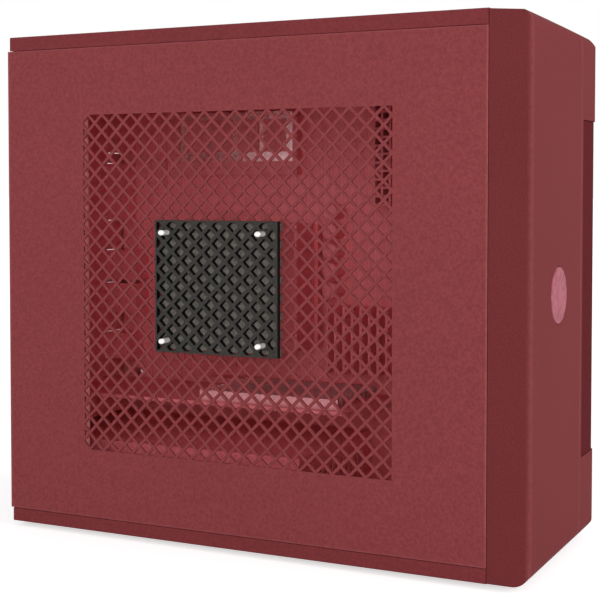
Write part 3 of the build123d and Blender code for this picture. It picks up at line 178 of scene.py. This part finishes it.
def pebble(material, shader, across, height, detail=3.0):
    """Fine bumps of a real size in metres, with a sheen that varies a little with them."""
    place = add(material, "TexCoord")
    noise = add(material, "TexNoise", {"Vector": place.outputs["Object"], "Scale": 1.0 / across,
                                       "Detail": detail, "Roughness": 0.55})
    bump = add(material, "Bump", {"Height": noise.outputs["Fac"], "Distance": height, "Strength": 1.0})
    material.node_tree.links.new(bump.outputs["Normal"], shader.inputs["Normal"])
    smooth = shader.inputs["Roughness"].default_value
    sheen = add(material, "MapRange", {"Value": noise.outputs["Fac"], "From Min": 0.3, "From Max": 0.7,
                                       "To Min": max(0.04, smooth - 0.06), "To Max": min(1.0, smooth + 0.06)})
    material.node_tree.links.new(sheen.outputs["Result"], shader.inputs["Roughness"])


def drift(material, colour, across, depth):
    """Shades a colour slowly from place to place, as an uneven coat does."""
    place = add(material, "TexCoord")
    noise = add(material, "TexNoise", {"Vector": place.outputs["Object"], "Scale": 1.0 / across,
                                       "Detail": 1.0})
    level = add(material, "MapRange", {"Value": noise.outputs["Fac"], "From Min": 0.3, "From Max": 0.7,
                                       "To Min": 1.0 - depth, "To Max": 1.0 + depth})
    return add(material, "VectorMath", {0: colour, 1: level.outputs["Result"]},
               operation="MULTIPLY").outputs["Vector"]


def paint(material, shader, colour):
    material.node_tree.links.new(colour, shader.inputs["Base Color"])


def dress(material, *nodes):
    """Gives carried-over sub-parts a material."""
    for name in nodes:
        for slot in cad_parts[name].material_slots:
            slot.material = material


def mix(material, share, first, second):
    """Blends from the first colour, where the share is 0, to the second, where it is 1."""
    return add(material, "Mix", {0: share, 6: first, 7: second}, data_type="RGBA").outputs[2]


def inside_case(material):
    """1 on faces that look into the case and 0 on its outer faces and the walls of the panel's holes."""
    shell_low, shell_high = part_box("base_tray")
    panel_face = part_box("mesh_side_panel")[0].x
    skin = Vector((panel_skin, shell_skin, shell_skin))
    low = Vector((panel_face, shell_low.y, shell_low.z)) + skin
    high = Vector((shell_high.x, shell_high.y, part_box("top_cover")[1].z)) - skin
    place = add(material, "TexCoord")
    offset = add(material, "VectorMath", {0: place.outputs["Object"], 1: (low + high) / 2},
                 operation="SUBTRACT")
    outward = add(material, "VectorMath", {0: offset.outputs["Vector"]}, operation="ABSOLUTE")
    beyond = add(material, "VectorMath", {0: outward.outputs["Vector"], 1: (high - low) / 2},
                 operation="SUBTRACT")
    axes = add(material, "SeparateXYZ", {"Vector": beyond.outputs["Vector"]})
    most = add(material, "Math", {0: axes.outputs["X"], 1: axes.outputs["Y"]}, operation="MAXIMUM")
    most = add(material, "Math", {0: most.outputs[0], 1: axes.outputs["Z"]}, operation="MAXIMUM")
    return add(material, "Math", {0: most.outputs[0], 1: 0.0}, operation="LESS_THAN").outputs[0]


def two_sided(material, outer, inner):
    """The outer colour on the case's outside and the inner colour on faces that look into it."""
    return mix(material, inside_case(material), outer, inner)


panel_skin, shell_skin = 0.00095, 0.0005     # how deep the outer coat reaches into the 1 mm sheets
primer_dark, primer_light = "#f47a81", "#ff8d94"
coat_speckle = 0.0012
coat_bump = 0.00003
coat_drift = 0.09
band_coat, band_shader = start("red_powder_coat_on_shell", "#79343a", 0.65, Specular_IOR_Level=0.15)
band_colour = drift(band_coat, speckle(band_coat, coat_speckle, "#712b2f", "#7f3336"), coat_drift, 0.04)
paint(band_coat, band_shader, two_sided(band_coat, band_colour,
                                        speckle(band_coat, coat_speckle, primer_dark, primer_light)))
pebble(band_coat, band_shader, coat_speckle / 2, coat_bump)
dress(band_coat, "base_tray", "top_cover", "board_tray", "drive_bracket")


# Side panels: one perforated and one plain, each a 1 mm sheet with hems and a hooked frame inside,
# under the same powder coat. Along the sheet's edges the coat is painted paler, as a painted highlight.
def near_line(material, points, keep, reach):
    """1 on any of the straight lines through the points, fading to 0 at the reach. Keep is 0 along a line."""
    place = add(material, "TexCoord")
    nearest = None
    for point in points:
        offset = add(material, "VectorMath", {0: place.outputs["Object"], 1: point}, operation="SUBTRACT")
        across = add(material, "VectorMath", {0: offset.outputs["Vector"], 1: keep}, operation="MULTIPLY")
        length = add(material, "VectorMath", {0: across.outputs["Vector"]}, operation="LENGTH")
        mask = add(material, "MapRange", {"Value": length.outputs["Value"], "From Min": 0.0,
                                          "From Max": reach, "To Min": 1.0, "To Max": 0.0})
        mask = mask.outputs["Result"]
        if nearest is not None:
            mask = add(material, "Math", {0: nearest, 1: mask}, operation="MAXIMUM").outputs[0]
        nearest = mask
    return nearest


def paint_highlight(material, colour, mask, highlight_code, strength):
    """Blends towards a paler colour where the mask is high, as a painted highlight, broken up by fine noise.
    """
    place = add(material, "TexCoord")
    noise = add(material, "TexNoise", {"Vector": place.outputs["Object"], "Scale": 1.0 / highlight_grain,
                                       "Detail": 2.0})
    patchy = add(material, "MapRange", {"Value": noise.outputs["Fac"], "From Min": 0.3, "From Max": 0.6,
                                        "To Min": 0.5 * strength, "To Max": strength})
    share = add(material, "Math", {0: mask, 1: patchy.outputs["Result"]}, operation="MULTIPLY")
    return mix(material, share.outputs[0], colour, linear(highlight_code))


highlight_grain = 0.0025
upright_highlight_reach, level_highlight_reach = 0.0012, 0.0009
panel_low, panel_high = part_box("mesh_side_panel")
panel_coat, panel_shader = start("red_powder_coat_on_panels", "#833c40", 0.65, Specular_IOR_Level=0.15)
panel_colour = drift(panel_coat, speckle(panel_coat, coat_speckle, "#7d3437", "#8d3f42"), coat_drift, 0.03)
panel_faces = (panel_low.x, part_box("plain_side_panel")[1].x)
upright_edges = [(x, y, 0.0) for x in panel_faces for y in (panel_low.y, panel_high.y)]
level_edges = [(x, 0.0, z) for x in panel_faces for z in (panel_low.z, panel_high.z)]
# painted highlight: paler coat along the panels' upright and level edges
upright_highlight_mask = near_line(panel_coat, upright_edges, (1.0, 1.0, 0.0), upright_highlight_reach)
level_highlight_mask = near_line(panel_coat, level_edges, (1.0, 0.0, 1.0), level_highlight_reach)
panel_colour = paint_highlight(panel_coat, panel_colour, upright_highlight_mask, "#a5585c", 0.8)
panel_colour = paint_highlight(panel_coat, panel_colour, level_highlight_mask, "#985055", 0.6)
paint(panel_coat, panel_shader, two_sided(panel_coat, panel_colour,
                                          speckle(panel_coat, coat_speckle, primer_dark, primer_light)))
pebble(panel_coat, panel_shader, coat_speckle / 2, coat_bump)
dress(panel_coat, "mesh_side_panel", "panel_frame", "plain_side_panel")

# Bezel and its side strip: injection-moulded ABS in a slightly deeper red, with the even matt skin
# of an etched mould. Its upright corners are painted paler, as a painted highlight.
abs_red, abs_shader = start("red_moulded_abs", "#722f31", 0.8, Specular_IOR_Level=0.08)
abs_colour = drift(abs_red, speckle(abs_red, 0.0008, "#6d2c2f", "#783335"), 0.06, 0.03)
bezel_low, bezel_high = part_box("front_bezel")
corner_radius = 0.0015
corner_highlight_reach = 0.0018
corner_lines = [(bezel_low.x + corner_radius * 0.6, bezel_low.y + corner_radius * 0.6, 0.0),
                (bezel_high.x, bezel_low.y, 0.0)]
# painted highlight: paler ABS along the bezel's upright corners
abs_colour = paint_highlight(abs_red, abs_colour, near_line(abs_red, corner_lines, (1.0, 1.0, 0.0), corner_highlight_reach),
                 "#8d4a4c", 0.8)
paint(abs_red, abs_shader, abs_colour)
pebble(abs_red, abs_shader, 0.0004, 0.000015)
dress(abs_red, "front_bezel", "bezel_side_strip")

# Inset of the strip: a smooth moulding that clips in from the front.
# Its skin is satin, and its colour is painted darker than the bezel round it, as painted shade of its recess.
inset, inset_shader = start("red_satin_abs_with_painted_recess_shade", "#581c20", 0.8, Specular_IOR_Level=0.03)
paint(inset, inset_shader, speckle(inset, 0.004, "#541a1e", "#5d1f23"))
pebble(inset, inset_shader, 0.004, 0.00001)
dress(inset, "strip_insert")

# Button: a tinted acrylic disc pressed in from the front, dished and lightly clouded, and pale.
# The cloud is in the moulding, a few millimetres across.
disc, disc_shader = start("clouded_pale_red_acrylic", "#995862", 0.5, Specular_IOR_Level=0.1)
paint(disc, disc_shader, speckle(disc, 0.0035, "#8e4350", "#ac5d69", detail=4.0))
pebble(disc, disc_shader, 0.003, 0.00003)
dress(disc, "power_button")

# Fan guard: punched steel in a black electro-coat. Its front face is painted dark brown-grey as a painted
# sheen, and the walls of its holes near-black as painted shade.
# The coat is thin and matt and takes the grain of the steel.
def place_along(material, axis):
    """The place along X, Y or Z, in metres."""
    place = add(material, "TexCoord")
    return add(material, "SeparateXYZ", {"Vector": place.outputs["Object"]}).outputs[axis]


def past(material, axis, limit):
    """1 past a limit along an axis and 0 before it."""
    return add(material, "Math", {0: place_along(material, axis), 1: limit},
               operation="GREATER_THAN").outputs[0]


guard_coat, guard_shader = start("black_electro_coat", "#302d2a", 0.6, Specular_IOR_Level=0.2)
guard_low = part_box("fan_guard")[0]
wall_shade_depth = 0.0001
# painted sheen on the front face, and near-black painted shade on the walls of the holes
paint(guard_coat, guard_shader, mix(guard_coat, past(guard_coat, "X", guard_low.x + wall_shade_depth),
                                    speckle(guard_coat, 0.0011, "#262421", "#3a3733"), linear("#0b0b0a")))
pebble(guard_coat, guard_shader, 0.0005, 0.00003)
dress(guard_coat, "fan_guard")

# Dust filter: grey open-cell mat, clamped between the panel and the fan.
# Its cells are under a millimetre across and leave it rough and dull.
mat, mat_shader = start("grey_filter_mat", "#8b857d", 0.95, Specular_IOR_Level=0.1)
paint(mat, mat_shader, speckle(mat, 0.0009, "#766f67", "#a09a91"))
pebble(mat, mat_shader, 0.0008, 0.0002)
dress(mat, "guard_filter")

# Screws: rolled and headed steel, plated with bright zinc.
# The plate has a faint, even mottle.
zinc, zinc_shader = start("bright_zinc_plate", "#dcdad8", 0.3, metallic=1.0)
paint(zinc, zinc_shader, speckle(zinc, 0.0006, "#cfccc9", "#e8e6e4"))
pebble(zinc, zinc_shader, 0.0004, 0.00001)
dress(zinc, "board_screws", "drive_screws", "bracket_screw", "cover_screws",
      "mesh_panel_thumb_screws", "plain_panel_thumb_screws")


def piece(name, mesh, material, body):
    """Makes an object of a bmesh, with its place in its mesh, and lets it ride on a body."""
    bmesh.ops.remove_doubles(mesh, verts=mesh.verts, dist=1e-6)
    bmesh.ops.recalc_face_normals(mesh, faces=mesh.faces)
    data = bpy.data.meshes.new(name)
    mesh.to_mesh(data)
    mesh.free()
    data.materials.append(material)
    made = bpy.data.objects.new(name, data)
    bpy.context.scene.collection.objects.link(made)
    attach(made, body)
    return made


def turned(mesh, centre, axis, outline, steps=20):
    """Spins an outline of (distance along the axis, radius) pairs about an axis through a point."""
    along = Vector(axis)
    outward = Vector((0.0, 0.0, 1.0))
    corners = [mesh.verts.new(centre + along * far + outward * radius) for far, radius in outline]
    edges = [mesh.edges.new(pair) for pair in zip(corners, corners[1:])]
    bmesh.ops.spin(mesh, geom=corners + edges, cent=centre, axis=along, angle=math.tau, steps=steps,
                   use_merge=True)


# Guard screws: long M2.5 screws from inside the fan, whose threaded ends stand out of the guard.
# The thread is cut at its real pitch, as rings, and the plated end is chamfered. The end is painted pale as a
# painted highlight, and the shank darker as painted shade in the thread.
screws_low, screws_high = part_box("guard_screws")
screw_radius = 0.0012
screw_chamfer = 0.0004
thread_pitch = 0.00045
thread_depth = 0.00022
screw_head_radius = 0.0032
screw_head_height = 0.0022
shank_length = screws_high.x - screws_low.x - screw_head_height
thread_turns = int((guard_low.x - screws_low.x - screw_chamfer) / thread_pitch)
screw_outline = [(0.0, 0.0), (0.0, screw_radius - screw_chamfer)]
for turn in range(thread_turns):
    crest = screw_chamfer + turn * thread_pitch
    screw_outline += [(crest, screw_radius), (crest + thread_pitch / 2, screw_radius - thread_depth)]
screw_outline += [(screw_chamfer + thread_turns * thread_pitch, screw_radius), (shank_length, screw_radius),
                  (shank_length, screw_head_radius),
                  (shank_length + 0.6 * screw_head_height, screw_head_radius),
                  (shank_length + screw_head_height, 0.5 * screw_head_radius),
                  (shank_length + screw_head_height, 0.0)]
long_screws = bmesh.new()
for y in (screws_low.y + screw_head_radius, screws_high.y - screw_head_radius):
    for z in (screws_low.z + screw_head_radius, screws_high.z - screw_head_radius):
        turned(long_screws, Vector((screws_low.x, y, z)), (1.0, 0.0, 0.0), screw_outline)
thread_zinc, thread_shader = start("bright_zinc_on_thread", "#9b9996", 0.32, metallic=0.85)
tip_highlight_length, shank_shade_start = 0.0012, 0.0026     # from the end, in metres
# painted highlight on the screws' ends, fading to painted shade along the shanks
tip_to_shank_shade = add(thread_zinc, "MapRange", {"Value": place_along(thread_zinc, "X"),
                                        "From Min": screws_low.x + tip_highlight_length,
                                        "From Max": screws_low.x + shank_shade_start})
paint(thread_zinc, thread_shader, mix(thread_zinc, tip_to_shank_shade.outputs["Result"], linear("#f0eeec"),
                                      speckle(thread_zinc, 0.0006, "#7d7b78", "#979592")))
pebble(thread_zinc, thread_shader, 0.0004, 0.00001)
guard_screw_ends = piece("guard_screws_threaded", long_screws, thread_zinc, "mesh_panel")
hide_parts("guard_screws")

# Rib: a steel strip welded upright inside the panel along the rear border of the holes, in a pale
# etch primer without the red coat. It shows as bright dashes through the outermost holes.
rib, rib_shader = start("pale_etch_primer_on_rib", "#f9a3a9", 0.4, Specular_IOR_Level=0.4)
paint(rib, rib_shader, speckle(rib, 0.001, "#f2989e", "#ffaeb3"))
pebble(rib, rib_shader, 0.0006, 0.00002)
dress(rib, "panel_stiffener")

# Port shells and the shields round them: drawn spring steel under a dull tin plate.
# Their moulded bodies inside the case are the same red as the other sockets, and so is the inner face
# of the sheet round the ports.
tin_plate, tin_plate_shader = start("tin_plate_all_over", "#b9b7b3", 0.38, metallic=1.0)
paint(tin_plate, tin_plate_shader, speckle(tin_plate, 0.0012, "#aeaca8", "#c6c4c0"))
pebble(tin_plate, tin_plate_shader, 0.001, 0.00001)
tin, tin_shader = start("tin_plated_steel", "#b9b7b3", 0.38, metallic=1.0)
paint(tin, tin_shader, two_sided(tin, speckle(tin, 0.0012, "#aeaca8", "#c6c4c0"), linear("#f07b82")))
tin_bare = add(tin, "Math", {0: 1.0, 1: inside_case(tin)}, operation="SUBTRACT")
tin.node_tree.links.new(tin_bare.outputs[0], tin_shader.inputs["Metallic"])
pebble(tin, tin_shader, 0.001, 0.00001)
dress(tin, "card_bracket", "lan_jacks", "card_jacks", "usb_socket", "serial_port", "video_port")
shield_skin = 0.0002
shield_tin, shield_shader = start("tin_plated_port_shield", "#b9b7b3", 0.38, metallic=1.0)
shield_bare = past(shield_tin, "Y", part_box("port_shield")[1].y - shield_skin)
paint(shield_tin, shield_shader, mix(shield_tin, shield_bare, linear("#f07b82"),
                                     speckle(shield_tin, 0.0012, "#aeaca8", "#c6c4c0")))
shield_tin.node_tree.links.new(shield_bare, shield_shader.inputs["Metallic"])
pebble(shield_tin, shield_shader, 0.001, 0.00001)
dress(shield_tin, "port_shield")

# Black mouldings: glass-filled nylon and PBT of the supply's fan, sockets, inlet and switches.
# The skin is even and matt, as it comes from an etched mould.
nylon, nylon_shader = start("black_moulded_nylon", "#1d1d1e", 0.5)
paint(nylon, nylon_shader, speckle(nylon, 0.001, "#19191a", "#232324"))
pebble(nylon, nylon_shader, 0.0005, 0.00002)
dress(nylon, "psu_fan_frame", "psu_fan_rotor", "power_switch", "switch_plunger", "psu_inlet",
      "psu_switch_frame", "psu_switch_rocker")

# Inner mouldings: the panel fan and the sockets on the boards are moulded in red PBT.
# They are seen through the perforations, and their skin is dull.
pbt, pbt_shader = start("red_moulded_pbt", "#ee8087", 0.6, Specular_IOR_Level=0.3)
paint(pbt, pbt_shader, speckle(pbt, 0.001, "#e4757d", "#f78d93"))
pebble(pbt, pbt_shader, 0.0006, 0.00002)
dress(pbt, "fan_frame", "fan_rotor", "cpu_socket", "memory_socket", "card_slot", "power_header",
      "board_chips", "board_capacitors", "psu_components")

# Shafts and bearings: ground steel pins that turn in bushes of sintered bronze.
# The pins shine and the bushes are dull and slightly porous.
ground, ground_shader = start("ground_steel", "#c4c4c6", 0.2, metallic=1.0)
paint(ground, ground_shader, speckle(ground, 0.0004, "#bababc", "#cdcdd0"))
pebble(ground, ground_shader, 0.0002, 0.000004)
dress(ground, "fan_shaft", "psu_fan_shaft")
bronze, bronze_shader = start("sintered_bronze", "#9a7444", 0.5, metallic=1.0)
paint(bronze, bronze_shader, speckle(bronze, 0.0005, "#8b673a", "#a9824f"))
pebble(bronze, bronze_shader, 0.0003, 0.00002)
dress(bronze, "fan_bearing", "psu_fan_bearing", "board_standoffs")

# Circuit boards: glass-fibre laminate under a red solder mask, with copper tracks just below it.
# The tracks show as slightly paler lines about a third of a millimetre wide.
board, board_shader = start("red_solder_mask", "#f88188", 0.45, Specular_IOR_Level=0.4)
track_spacing = 0.0042
board_place = add(board, "TexCoord")
board_turn = add(board, "Mapping", {"Vector": board_place.outputs["Object"],
                                    "Rotation": (0.0, math.radians(90.0), 0.0)})
tracks = add(board, "TexBrick", {"Vector": board_turn.outputs["Vector"], "Color1": linear("#f07980"),
                                 "Color2": linear("#fa878e"), "Mortar": linear("#ff9a9d"),
                                 "Scale": 1.0 / track_spacing, "Mortar Size": 0.04,
                                 "Brick Width": 2.6, "Row Height": 0.45})
paint(board, board_shader, tracks.outputs["Color"])
pebble(board, board_shader, 0.002, 0.00002)
dress(board, "main_board", "network_card", "psu_board")

# Memory module: a pale board with plated pads, which shines through the perforations.
# The card's cooler beside it is pale anodised too.
pale_board, pale_shader = start("plated_heat_spreader", "#ffccd0", 0.3, metallic=0.8)
paint(pale_board, pale_shader, speckle(pale_board, 0.003, "#f0b4b9", "#ffd8da"))
pebble(pale_board, pale_shader, 0.003, 0.00002)
dress(pale_board, "memory_module")
pale_anodised, pale_anodised_shader = start("pale_anodised_aluminium", "#dc989e", 0.35, metallic=0.8)
paint(pale_anodised, pale_anodised_shader, speckle(pale_anodised, 0.0008, "#d08a90", "#e8a6ab"))
pebble(pale_anodised, pale_anodised_shader, 0.0003, 0.00001)
dress(pale_anodised, "card_heatsink")

# Coolers and drive: red-anodised extrusions, and a cast drive case coated to match.
# The anodised skin has a fine grain.
anodised, anodised_shader = start("red_anodised_aluminium", "#f27e85", 0.45, metallic=0.2)
paint(anodised, anodised_shader, speckle(anodised, 0.0008, "#e8737a", "#fb8d94"))
pebble(anodised, anodised_shader, 0.0004, 0.00001)
dress(anodised, "cpu_heatsink", "chipset_heatsink")
case_cast, case_cast_shader = start("red_coated_casting", "#f07a81", 0.5, Specular_IOR_Level=0.3)
paint(case_cast, case_cast_shader, speckle(case_cast, 0.0015, "#e67178", "#fa8a91"))
pebble(case_cast, case_cast_shader, 0.0009, 0.00003)
dress(case_cast, "storage_drive")

# Supply: a folded steel box in red lacquer, with its outer end in the darker coat of the shell.
# The lacquer is thin, smooth and slightly uneven.
supply, supply_shader = start("red_lacquered_supply_box", "#ee7a81", 0.5, Specular_IOR_Level=0.3)
supply_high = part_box("psu_base")[1]
end_skin = 0.0012
paint(supply, supply_shader, mix(supply, past(supply, "Y", supply_high.y - end_skin),
                                 speckle(supply, 0.002, "#e47178", "#f8878e"), linear("#5e2629")))
pebble(supply, supply_shader, 0.0006, 0.00003)
dress(supply, "psu_base", "psu_cover")

# Jack contacts: eight gilt spring wires in each network jack, which slope in from the side opposite
# the latch notch.
def bar(mesh, section, moves):
    """Pushes a flat section along a list of moves, as a drawn bar bent at each step."""
    face = mesh.faces.new([mesh.verts.new(corner) for corner in section])
    for move in moves:
        pushed = bmesh.ops.extrude_face_region(mesh, geom=[face])["geom"]
        face = next(item for item in pushed if isinstance(item, bmesh.types.BMFace))
        bmesh.ops.translate(mesh, verts=face.verts, vec=move)


def jack_contacts(mesh, centre, up, along):
    """Eight wires of one jack. Up points to the contacts' side and along runs across them."""
    up, along, inward = Vector(up), Vector(along), Vector((0.0, -1.0, 0.0))
    for wire in range(8):
        root = centre + up * (jack_cavity / 2 - contact_clearance) + along * (wire - 3.5) * contact_spacing
        root += inward * contact_setback
        a, b = along * contact_width / 2, up * contact_width / 2
        bar(mesh, [root - a - b, root + a - b, root + a + b, root - a + b],
            [inward * reach - up * drop for reach, drop in contact_bends])


jack_width = 0.016
jack_cavity = 0.0082
contact_spacing = 0.00102
contact_width = 0.00045
contact_setback = 0.0012
contact_clearance = 0.0004
contact_bends = ((0.002, 0.0004), (0.006, 0.003), (0.002, 0.0002))     # inwards and away from the wall
lan_low, lan_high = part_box("lan_jacks")
card_low, card_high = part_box("card_jacks")
lan_x = (lan_low.x + lan_high.x) / 2
card_z = (card_low.z + card_high.z) / 2
lan_centres = [Vector((lan_x, lan_high.y, z))
               for z in (lan_low.z + jack_width / 2, lan_high.z - jack_width / 2)]
card_centres = [Vector((card_low.x + jack_width / 2 + step * (card_high.x - card_low.x - jack_width) / 2,
                        card_high.y, card_z)) for step in range(3)]
contacts = bmesh.new()
for centre in lan_centres:
    jack_contacts(contacts, centre, (1.0, 0.0, 0.0), (0.0, 0.0, 1.0))
for centre in card_centres:
    jack_contacts(contacts, centre, (0.0, 0.0, 1.0), (1.0, 0.0, 0.0))
gilt, gilt_shader = start("gilt_contact_wire", "#d8ab4e", 0.25, metallic=1.0)
paint(gilt, gilt_shader, speckle(gilt, 0.0005, "#cc9f44", "#e4b95e"))
pebble(gilt, gilt_shader, 0.0003, 0.000004)
piece("jack_contacts", contacts, gilt, "chassis")

# Jack lights: clear windows of green and amber acrylic beside the latch notch of each jack, the ends
# of light pipes that are pressed into the shell.
light_length, light_height, light_proud = 0.003, 0.0014, 0.00025
light_from_middle = 0.0054
light_from_edge = 0.0017
light_bevel = 0.00015


def jack_light(mesh, place, long_side):
    """One window: a slab with bevelled edges, its long side across the jack."""
    slab = bmesh.ops.create_cube(mesh, size=1.0)["verts"]
    size = Vector((light_height, 2 * light_proud, light_height))
    size[long_side] = light_length
    bmesh.ops.scale(mesh, verts=slab, vec=size)
    bmesh.ops.translate(mesh, verts=slab, vec=place)
    edges = list({edge for corner in slab for edge in corner.link_edges})
    bmesh.ops.bevel(mesh, geom=edges, offset=light_bevel, affect="EDGES", segments=2, profile=0.5,
                    material=-1)


for colour, code, side in (("green", "#7fc98a", -1), ("amber", "#e0b25a", 1)):
    windows = bmesh.new()
    for centre in lan_centres:
        jack_light(windows, Vector((lan_low.x + light_from_edge, centre.y,
                                    centre.z + side * light_from_middle)), 2)
    for centre in card_centres:
        jack_light(windows, Vector((centre.x + side * light_from_middle, centre.y,
                                    card_low.z + light_from_edge)), 0)
    acrylic, acrylic_shader = start(colour + "_tinted_acrylic", code, 0.2)
    paint(acrylic, acrylic_shader, speckle(acrylic, 0.001, code, code))
    pebble(acrylic, acrylic_shader, 0.001, 0.000004)
    piece("jack_lights_" + colour, windows, acrylic, "chassis")

# Serial plug pins: nine turned and gilt pins, five over four, with rounded tips.
# They stand in the hollow of the D-shaped shell and stop just inside its rim.
serial_low, serial_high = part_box("serial_port")
shell_depth = 0.008
pin_radius, pin_length = 0.0005, 0.0066
pin_spacing, pin_rows = 0.00277, 0.00284
pins = bmesh.new()
serial_x, serial_z = (serial_low.x + serial_high.x) / 2, (serial_low.z + serial_high.z) / 2
for count, row in ((5, 1), (4, -1)):
    for pin in range(count):
        root = Vector((serial_x + row * pin_rows / 2, serial_high.y - shell_depth,
                       serial_z + (pin - (count - 1) / 2) * pin_spacing))
        turned(pins, root, (0.0, 1.0, 0.0),
               [(0.0, 0.0), (0.0, pin_radius), (pin_length - pin_radius, pin_radius),
                (pin_length - 0.3 * pin_radius, 0.7 * pin_radius), (pin_length, 0.0)], steps=12)
piece("serial_pins", pins, gilt, "chassis")

# Video socket: an insert of blue moulded nylon that fills the D-shaped shell, with three rows of five
# gilt sockets.
video_low, video_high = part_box("video_port")
video_x, video_z = (video_low.x + video_high.x) / 2, (video_low.z + video_high.z) / 2
insert_half_height = 0.0034
insert_narrow, insert_wide = 0.0061, 0.0074
insert_setback = 0.0008
insert_face = video_high.y - insert_setback
video_insert = bmesh.new()
bar(video_insert,
    [Vector((video_x - insert_half_height, video_high.y - shell_depth, video_z - insert_narrow)),
     Vector((video_x - insert_half_height, video_high.y - shell_depth, video_z + insert_narrow)),
     Vector((video_x + insert_half_height, video_high.y - shell_depth, video_z + insert_wide)),
     Vector((video_x + insert_half_height, video_high.y - shell_depth, video_z - insert_wide))],
    [Vector((0.0, insert_face - video_high.y + shell_depth, 0.0))])
blue_nylon, blue_shader = start("blue_moulded_nylon", "#2c4f8f", 0.5)
paint(blue_nylon, blue_shader, speckle(blue_nylon, 0.001, "#284986", "#315597"))
pebble(blue_nylon, blue_shader, 0.0005, 0.00001)
piece("video_insert", video_insert, blue_nylon, "chassis")
socket_spacing, socket_rows = 0.00229, 0.00198
socket_ring = [(0.0, 0.00032), (0.00012, 0.00034), (0.00016, 0.00045), (0.00012, 0.00058), (0.0, 0.0006)]
sockets = bmesh.new()
for row in (-1, 0, 1):
    shift = socket_spacing / 2 if row == 0 else 0.0
    for column in range(5):
        place = Vector((video_x + row * socket_rows, insert_face,
                        video_z + (column - 2) * socket_spacing + shift - socket_spacing / 4))
        turned(sockets, place, (0.0, 1.0, 0.0), socket_ring, steps=12)
piece("video_sockets", sockets, gilt, "chassis")

# Inlet blades: three plated brass blades in the mains inlet, with tapered tips.
# Each is a sleeve on the moulded core inside the shroud.
inlet_low, inlet_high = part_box("psu_inlet")
inlet_x, inlet_z = (inlet_low.x + inlet_high.x) / 2, (inlet_low.z + inlet_high.z) / 2
blade_front = inlet_high.y - 0.0054
blade_length = 0.0125
blade_taper = 0.0005
blade_half_x, blade_half_z = 0.00105, 0.00205
blade_places = ((-0.002, -0.007), (-0.002, 0.007), (0.002, 0.0))
tip_narrowing = (0.6, 1.0, 0.85)
blades = bmesh.new()
for x, z in blade_places:
    middle = Vector((inlet_x + x, blade_front - blade_length, inlet_z + z))
    bar(blades, [middle + Vector((a * blade_half_x, 0.0, b * blade_half_z))
                 for a, b in ((-1, -1), (1, -1), (1, 1), (-1, 1))],
        [Vector((0.0, blade_length, 0.0)), Vector((0.0, blade_taper, 0.0))])
    tip = [corner for corner in blades.verts if (corner.co - middle).y > blade_length + 0.8 * blade_taper
           and (corner.co - middle).xz.length < 1.5 * blade_half_z]
    bmesh.ops.scale(blades, verts=tip, vec=tip_narrowing, space=Matrix.Translation(-middle))
piece("inlet_blades", blades, tin_plate, "chassis")

# Feet: four moulded rubber pads under the base.
# The rubber is dull and slightly dusty.
rubber, rubber_shader = start("black_foot_rubber", "#1a1919", 0.85)
paint(rubber, rubber_shader, speckle(rubber, 0.0008, "#161515", "#222121"))
pebble(rubber, rubber_shader, 0.0005, 0.00003)
dress(rubber, "feet")
